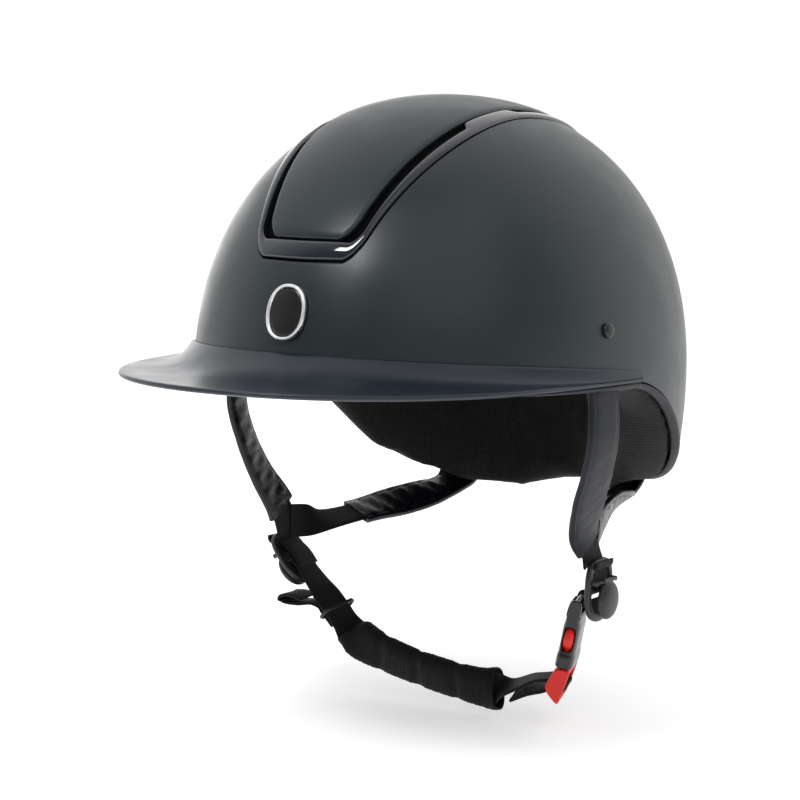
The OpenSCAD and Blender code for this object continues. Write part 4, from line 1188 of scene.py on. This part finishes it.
def make_keeper():
    def outer(f):
        return flat_section(WEB_W + 4.4, 9.2, 8, 0, 2.4) * (1 - 0.05 * (2 * f - 1) ** 2)

    def inner(f):
        return flat_section(WEB_W + 2.2, 7.5, 8, 0, 1.6)

    sweep(
        "keeper_band", CHIN, CHIN_ACROSS, KEEPER_AT - 0.09, KEEPER_AT + 0.09, outer, "plastic", "keeper", 0.3,
        inner=inner, cad="keeper_ring", slot="plastic_black", sharp=50,
    )


def make_chin_pad():
    """Gathered textile tube in four lobes, open and hollow at the wearer's left end."""
    lobes = 4.0

    def pinch(f):
        g = f * lobes
        near = abs(g - round(g)) if 0.4 < g < lobes - 0.4 else 1.0
        return 1 - 0.24 * math.exp(-((near / 0.12) ** 2))

    def outer(f):
        k = pinch(f)
        end = 1 - 0.24 * math.exp(-((f / 0.045) ** 2))
        flare = smooth((f - 0.9) / 0.1)
        w, t = (20.2 + 0.4 * flare) * (0.95 + 0.05 * k) * end, (10.4 + 1.8 * flare) * k * end
        return superellipse(48, w / 2, t / 2, 0.62, 0.8)

    def inner(f):
        flare = smooth((f - 0.93) / 0.07)
        return superellipse(48, (16.9 + 1.7 * flare) / 2, (3.6 + 6.6 * flare) / 2, 0.5, 0.6)

    def gather(q, f, s):
        ang = np.arctan2(q[:, 1] / 4.3, q[:, 0] / 9.3)
        ridge = 0.10 * math.sin(s * 2.9 + 0.4 * math.sin(s * 0.7)) + 0.07 * np.sin(s * 1.3 + 3 * ang)
        r = np.linalg.norm(q, axis=1, keepdims=True)
        return q * (1 + (ridge / np.maximum(r[:, 0], 2))[:, None])

    o = sweep(
        "chin_pad_gathered", CHIN, CHIN_ACROSS, PAD_SPAN[0] - 0.3, PAD_SPAN[1], outer, "chin", "chin_strap", 0.55,
        inner=inner, wrinkle=gather, cad="chin_pad", slot="textile", sharp=0,
    )


# ---------------------------------------------------------------- dividers
def rod_y(r, length, x=0.0, z=0.0, n=24):
    """Round bar along Y with softened ends."""
    prof = [
        (0, -length / 2), (r * 0.85, -length / 2), (r, -length / 2 + 0.2), (r, length / 2 - 0.2),
        (r * 0.85, length / 2), (0, length / 2),
    ]
    v, f = lathe(prof, n)
    v = np.stack([v[:, 0] + x, v[:, 2], v[:, 1] + z], -1)
    return right_way((v, f))


def rounded_box(size, centre, r=0.5, n=5):
    """Box with round edges, as a grid of superelliptic sections along Z."""
    hx, hy, hz = (s / 2 for s in size)
    r = min(r, 0.42 * min(hx, hy, hz))
    rings = []
    for z, k in [
        (-hz, r), (-hz + 0.3 * r, 0.35 * r), (-hz + r, 0),
    ] + [(hz - r, 0), (hz - 0.3 * r, 0.35 * r), (hz, r)]:
        ring = []
        for sx, sy, a0 in ((1, 1, 0), (-1, 1, 90), (-1, -1, 180), (1, -1, 270)):
            for q in np.linspace(0, 90, n):
                a = math.radians(a0 + q)
                ring.append((sx * (hx - k - r) + r * math.cos(a), sy * (hy - k - r) + r * math.sin(a), z))
        rings.append(np.array(ring) + centre)
    return right_way(tube(rings))


def divider_parts():
    """Oval frame: a ring squared off round the top bar, with a middle bar and ears for the cam."""
    q = np.linspace(0, 2 * np.pi, 140, endpoint=False)
    c, s = np.cos(q), np.sin(q)
    hy = 10.75
    ex = np.where(s > 0, 0.55, 0.95)
    y = hy * spow(c, ex)
    z = np.where(s > 0, -3 + (BAR_UP + 3.0) * spow(s, ex), -3 + 10.6 * spow(s, ex))
    path = np.stack([np.zeros_like(y), y, z], -1)
    t = unit(np.roll(path, -1, 0) - np.roll(path, 1, 0))
    out = np.cross(t, np.array([1.0, 0, 0]))
    sec = superellipse(20, 1.5, 1.85, 0.75)
    rings = [path[i] + sec[:, :1] * np.array([1.0, 0, 0]) + sec[:, 1:] * out[i] for i in range(len(path))]
    parts = [right_way(tube(rings, closed=True))]
    parts.append(rod_y(BAR_R, 19.6, 0, 0))
    for sy in (-1, 1):
        parts.append(rounded_box((4.2, 1.3, 2.2), np.array([2.5, sy * 9.6, PIN_AT[2] - 0.2]), 0.5))
    return merged(parts)


def cam_parts():
    prof = [
        (0, -1.0), (7.6, -1.0), (8.7, -0.8), (9.2, -0.2), (9.2, 0.5), (8.9, 1.2), (8.1, 1.95), (6.6, 2.7), (4.6, 3.2),
        (2.3, 3.45), (0, 3.5),
    ]
    v, f = lathe(prof, 56)
    v = np.stack([v[:, 2], v[:, 1], -v[:, 0]], -1)
    disc = v + np.array([PIN_AT[0] + 0.4, 0, PIN_AT[2] - CAM_DROP])
    parts = [right_way((disc, f)), rod_y(1.4, 8.6, PIN_AT[0], PIN_AT[2])]
    return merged([right_way(p) for p in parts])


def to_left(v):
    return np.asarray(v) + LEFT_DIV


def to_right(v):
    v = np.asarray(v, float) * np.array([-1, 1, 1])
    c, s = math.cos(DIV_TILT), math.sin(DIV_TILT)
    x = v[:, 0] * c - v[:, 2] * s
    z = v[:, 0] * s + v[:, 2] * c
    return np.stack([x, v[:, 1], z], -1) + RIGHT_DIV


def make_dividers():
    for side, place, body in (("left", to_left, "root"), ("right", to_right, "chin_strap")):
        pin = rod_y(PIN_R, PIN_LENGTH, PIN_AT[0] - 0.1, PIN_AT[2])
        for name, (v, f), on, cad, slot in (
            ("divider_oval", divider_parts(), body, "divider_frame", "plastic_black"),
            ("pin_rod", pin, body, "cam_pin", "metal"),
            ("cam_disc", cam_parts(), f"cam_{side}", "cam_lever", "plastic_black"),
        ):
            collect(
                f"{name}_{side}", place(v), f, "plastic", on, cad=f"{cad}_{side}", slot=slot, sharp=45,
                flip=side == "right",
            )


# ---------------------------------------------------------------- buckle
def buckle_loft(stations, n=40):
    """Loft along the buckle's axis through stations (z, half thickness, half width, squareness)."""
    rings = []
    for z, hx, hy, e in stations:
        rings.append(level(superellipse(n, hx, hy, e), z))
    return right_way(tube(rings))


def half_shell(stations, side, wall, n=29):
    """Half of a hollow casing: stations (z, half thickness, half width, squareness, reach in degrees)."""
    outer, inner = [], []
    for z, hx, hy, e, reach in stations:
        q = np.radians(np.linspace(-reach, reach, n))
        for rows, t in ((outer, 0.0), (inner, wall)):
            x, y = (hx - t) * spow(np.cos(q), e), (hy - t) * spow(np.sin(q), e)
            rows.append(np.stack([side * np.maximum(x, 0.0), y, np.full(n, z)], -1))
    rings = [np.vstack([o, i[::-1]]) for o, i in zip(outer, inner)]
    return right_way(tube(rings))


def plate(points, y0, y1, edge=0.45):
    """Flat plate across the buckle: an outline in (x, z) with softened edges, from y0 to y1."""
    p = soft_section(points)
    c = p.mean(0)
    size = np.linalg.norm(p - c, axis=1).mean()
    rings = []
    for y, k in (
        (y0, edge), (y0 + edge * 0.4, edge * 0.3), (y0 + edge, 0), (y1 - edge, 0), (y1 - edge * 0.4, edge * 0.3),
        (y1, edge),
    ):
        q = c + (p - c) * (1 - k / size)
        rings.append(np.stack([q[:, 0], np.full(len(q), y), q[:, 1]], -1))
    return right_way(tube(rings))


def make_buckle():
    def window(z):
        """Reach of the wall, in degrees: full above and below the side window."""
        g = abs(z - WINDOW_AT) / WINDOW_HALF
        return 90.0 if g >= 1 else 90 - 33 * (1 - g**3.2) ** 0.5

    stations = []
    for z in np.concatenate([[0, 0.25, 0.8, 3, 5.6, 6.6, 7.4], np.linspace(7.8, 20.6, 27), [21.4, 22.4, 23.6]]):
        hx = np.interp(z, [0, 0.25, 0.8, 5.6, 6.8, 20, 23.6], [3.9, 4.35, 4.5, 4.5, 4.2, 4.25, 3.7])
        hy = np.interp(z, [0, 0.25, 0.8, 5.6, 6.8, 9, 20, 23.6], [11.3, 11.8, 12, 12, 11.5, 11.2, 11.2, 11.6])
        stations.append((z, hx, hy, 0.52, window(z)))
    parts = [half_shell(stations, side, 1.35) for side in (1, -1)]
    parts.append(
        buckle_loft(
            [
                (22.2, 3.2, 11.0, 0.45), (23.4, 3.75, 11.6, 0.45), (24.2, 3.7, 11.6, 0.45), (25.2, 3.4, 11.6, 0.45),
                (25.6, 2.8, 11.2, 0.45),
            ],
            56,
        )
    )
    cheek = [(-3.4, 24), (3.4, 24), (3.2, 30), (2.2, 33.6), (-2.2, 33.6), (-3.2, 30)]
    for side in (-1, 1):
        y0, y1 = sorted((side * 9.2, side * 11.7))
        parts.append(plate(cheek, y0, y1))
    parts.append(moved(rod_y(BAR_R, WEB_W + 3.4), (0, 0, HOUSING_BAR)))
    for x in (-2.4, 2.4):
        for side in (-1, 1):
            rib = lathe([(0, 0.9), (0.5, 1.0), (0.62, 1.5), (0.62, 5.4), (0.5, 6.0), (0, 6.1)], 12)
            parts.append(moved(rib, (x, side * 11.3, 0)))
    v, f = merged([right_way(p) for p in parts])
    collect(
        "buckle_housing_body", on_buckle(v), f, "glossy", "root", cad="buckle_housing", slot="plastic_black",
        sharp=42,
    )

    cheek = [(-3.2, -0.7), (3.3, -0.7), (3.8, -2.6), (1.5, -17.6), (0.2, -18.3), (-7.0, -12.2), (-5.0, -6.4)]
    parts = [plate(cheek, *sorted((side * 8.9, side * 11.3)), 0.7) for side in (-1, 1)]
    parts.append(plate([(-3.3, -0.7), (3.2, -0.7), (3.4, -4.6), (-4.2, -4.6)], -10.6, 10.6, 0.5))
    parts.append(plate([(-1.8, -16.2), (1.7, -15.6), (1.5, -17.6), (0.2, -18.2)], -10.6, 10.6, 0.4))
    parts.append(moved(rod_y(BAR_R, WEB_W + 2), (0, 0, TONGUE_BAR)))
    parts.append(rounded_box((3.4, 5.8, 23.4), np.array([0, 0, 9.6]), 0.8))
    parts.append(rounded_box((3.4, 17.0, 1.6), np.array([0, 0, -0.9]), 0.5))
    v, f = merged([right_way(p) for p in parts])
    collect(
        "buckle_tongue_body", on_buckle(v), f, "red", "chin_strap", cad="buckle_tongue", slot="plastic_red", sharp=42,
    )
    for side, key in ((-1, "front"), (1, "rear")):
        st = [
            (-1.3, 1.3, 6.4, 8.4), (0.4, 1.6, 6.2, 8.6), (5, 1.7, 6.15, 8.7), (9.0, 1.75, 6.1, 8.9),
            (10.2, 2.2, 6.1, 10.6), (11.8, 2.35, 6.2, 11.7), (14.4, 2.4, 6.4, 12.0), (17.0, 2.2, 6.5, 11.2),
            (18.8, 1.8, 6.6, 9.6), (19.5, 1.1, 6.9, 8.6),
        ]
        rings = []
        for z, hx, y0, y1 in st:
            s = superellipse(24, hx, (y1 - y0) / 2, 0.7)
            rings.append(np.stack([s[:, 0], side * (s[:, 1] + (y0 + y1) / 2), np.full(24, z)], -1))
        v, f = right_way(tube(rings))
        solid(
            f"latch_{key}_arm", on_buckle(v), f, "red", f"latch_{key}", cad=f"latch_arm_{key}", slot="plastic_red",
            sharp=50,
        )


# ---------------------------------------------------------------- build
make_shell()
make_trim()
make_panel()
make_brim()
make_bead()
make_foam()
make_pad("forehead_band_soft", -74, 74, 140, 5, 42, "forehead_band")
make_pad("side_pad_soft_left", 79, 103, 30, 0, 40, "side_pad_left")
make_pad("side_pad_soft_right", -103, -79, 30, 0, 40, "side_pad_right")
make_nape()
make_crown()
make_badge()
make_rivets()
make_straps()
make_keeper()
make_chin_pad()
make_dividers()
make_buckle()

for key, mat in (("hook_dots", "velcro"), ("strap_washers", "steel")):
    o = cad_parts[key]
    o.data.materials.clear()
    o.data.materials.append(MAT[mat])

# ---------------------------------------------------------------- floor, light and camera
FLOOR_SIZE, FLOOR_GAP, FLOOR_GLOW = 60, 0.004, 0.42
LIGHT_SIDE = (-0.53, 0.84, 0.05)
SENSOR, LENS = 36, 92.4
CAMERA_AT = (0.5115, -0.8541, 0.0973)
CAMERA_RIGHT = (0.84423621, 0.53528165, 0.02718041)
CAMERA_UP = (-0.08177986, 0.07853133, 0.99355165)
CAMERA_BACK = (0.52969545, -0.84101509, 0.11007426)

scene = bpy.context.scene
floor_mat, _, _ = material(
    "pale_floor", (0.94, 0.94, 0.94), 0.9, Specular_IOR_Level=0.1, Emission_Color=(1, 1, 1, 1),
    Emission_Strength=FLOOR_GLOW,
)
bpy.ops.mesh.primitive_plane_add(size=FLOOR_SIZE, location=(0, 0, cad_bounds[0][2] - FLOOR_GAP))
floor = bpy.context.object
floor.name = "floor"
floor.data.materials.append(floor_mat)

world = bpy.data.worlds.new("studio")
scene.world = world
world.use_nodes = True
wnt = world.node_tree
sky = node(wnt, "ShaderNodeTexCoord")
away = node(wnt, "ShaderNodeVectorMath", operation="DOT_PRODUCT")
away.inputs[1].default_value = LIGHT_SIDE
wnt.links.new(sky.outputs["Generated"], away.inputs[0])
half = math_node(wnt, "MULTIPLY", math_node(wnt, "ADD", away.outputs["Value"], 1.0), 0.5)
wnt.links.new(ramp(wnt, half, [(0.30, (0.25, 0.26, 0.27)), (0.60, 1.0)]), wnt.nodes["Background"].inputs["Color"])
wnt.nodes["Background"].inputs["Strength"].default_value = 1.0


def area(name, at, size, power, target=(0, 0, 0)):
    light = bpy.data.lights.new(name, "AREA")
    light.shape = "RECTANGLE"
    light.size, light.size_y = size
    light.energy = power
    o = bpy.data.objects.new(name, light)
    o.location = at
    o.rotation_euler = (Vector(target) - Vector(at)).to_track_quat("-Z", "Y").to_euler()
    scene.collection.objects.link(o)


area("key_soft", (1.2, -0.8, 1.3), (1.8, 1.8), 7)
area("rim_left", (-1.1, 0.95, 0.2), (0.9, 0.5), 2.2)
area("trim_glint", (-0.12, -0.86, 0.88), (0.34, 0.18), 4.5, (0.02, -0.12, 0.07))

cam_data = bpy.data.cameras.new("photo_camera")
cam_data.sensor_width = SENSOR
cam_data.lens = LENS
camera = bpy.data.objects.new("photo_camera", cam_data)
basis = Matrix((CAMERA_RIGHT, CAMERA_UP, CAMERA_BACK)).transposed()
camera.matrix_world = Matrix.Translation(CAMERA_AT) @ basis.to_4x4()
scene.collection.objects.link(camera)
scene.camera = camera
scene.view_settings.view_transform = "Standard"
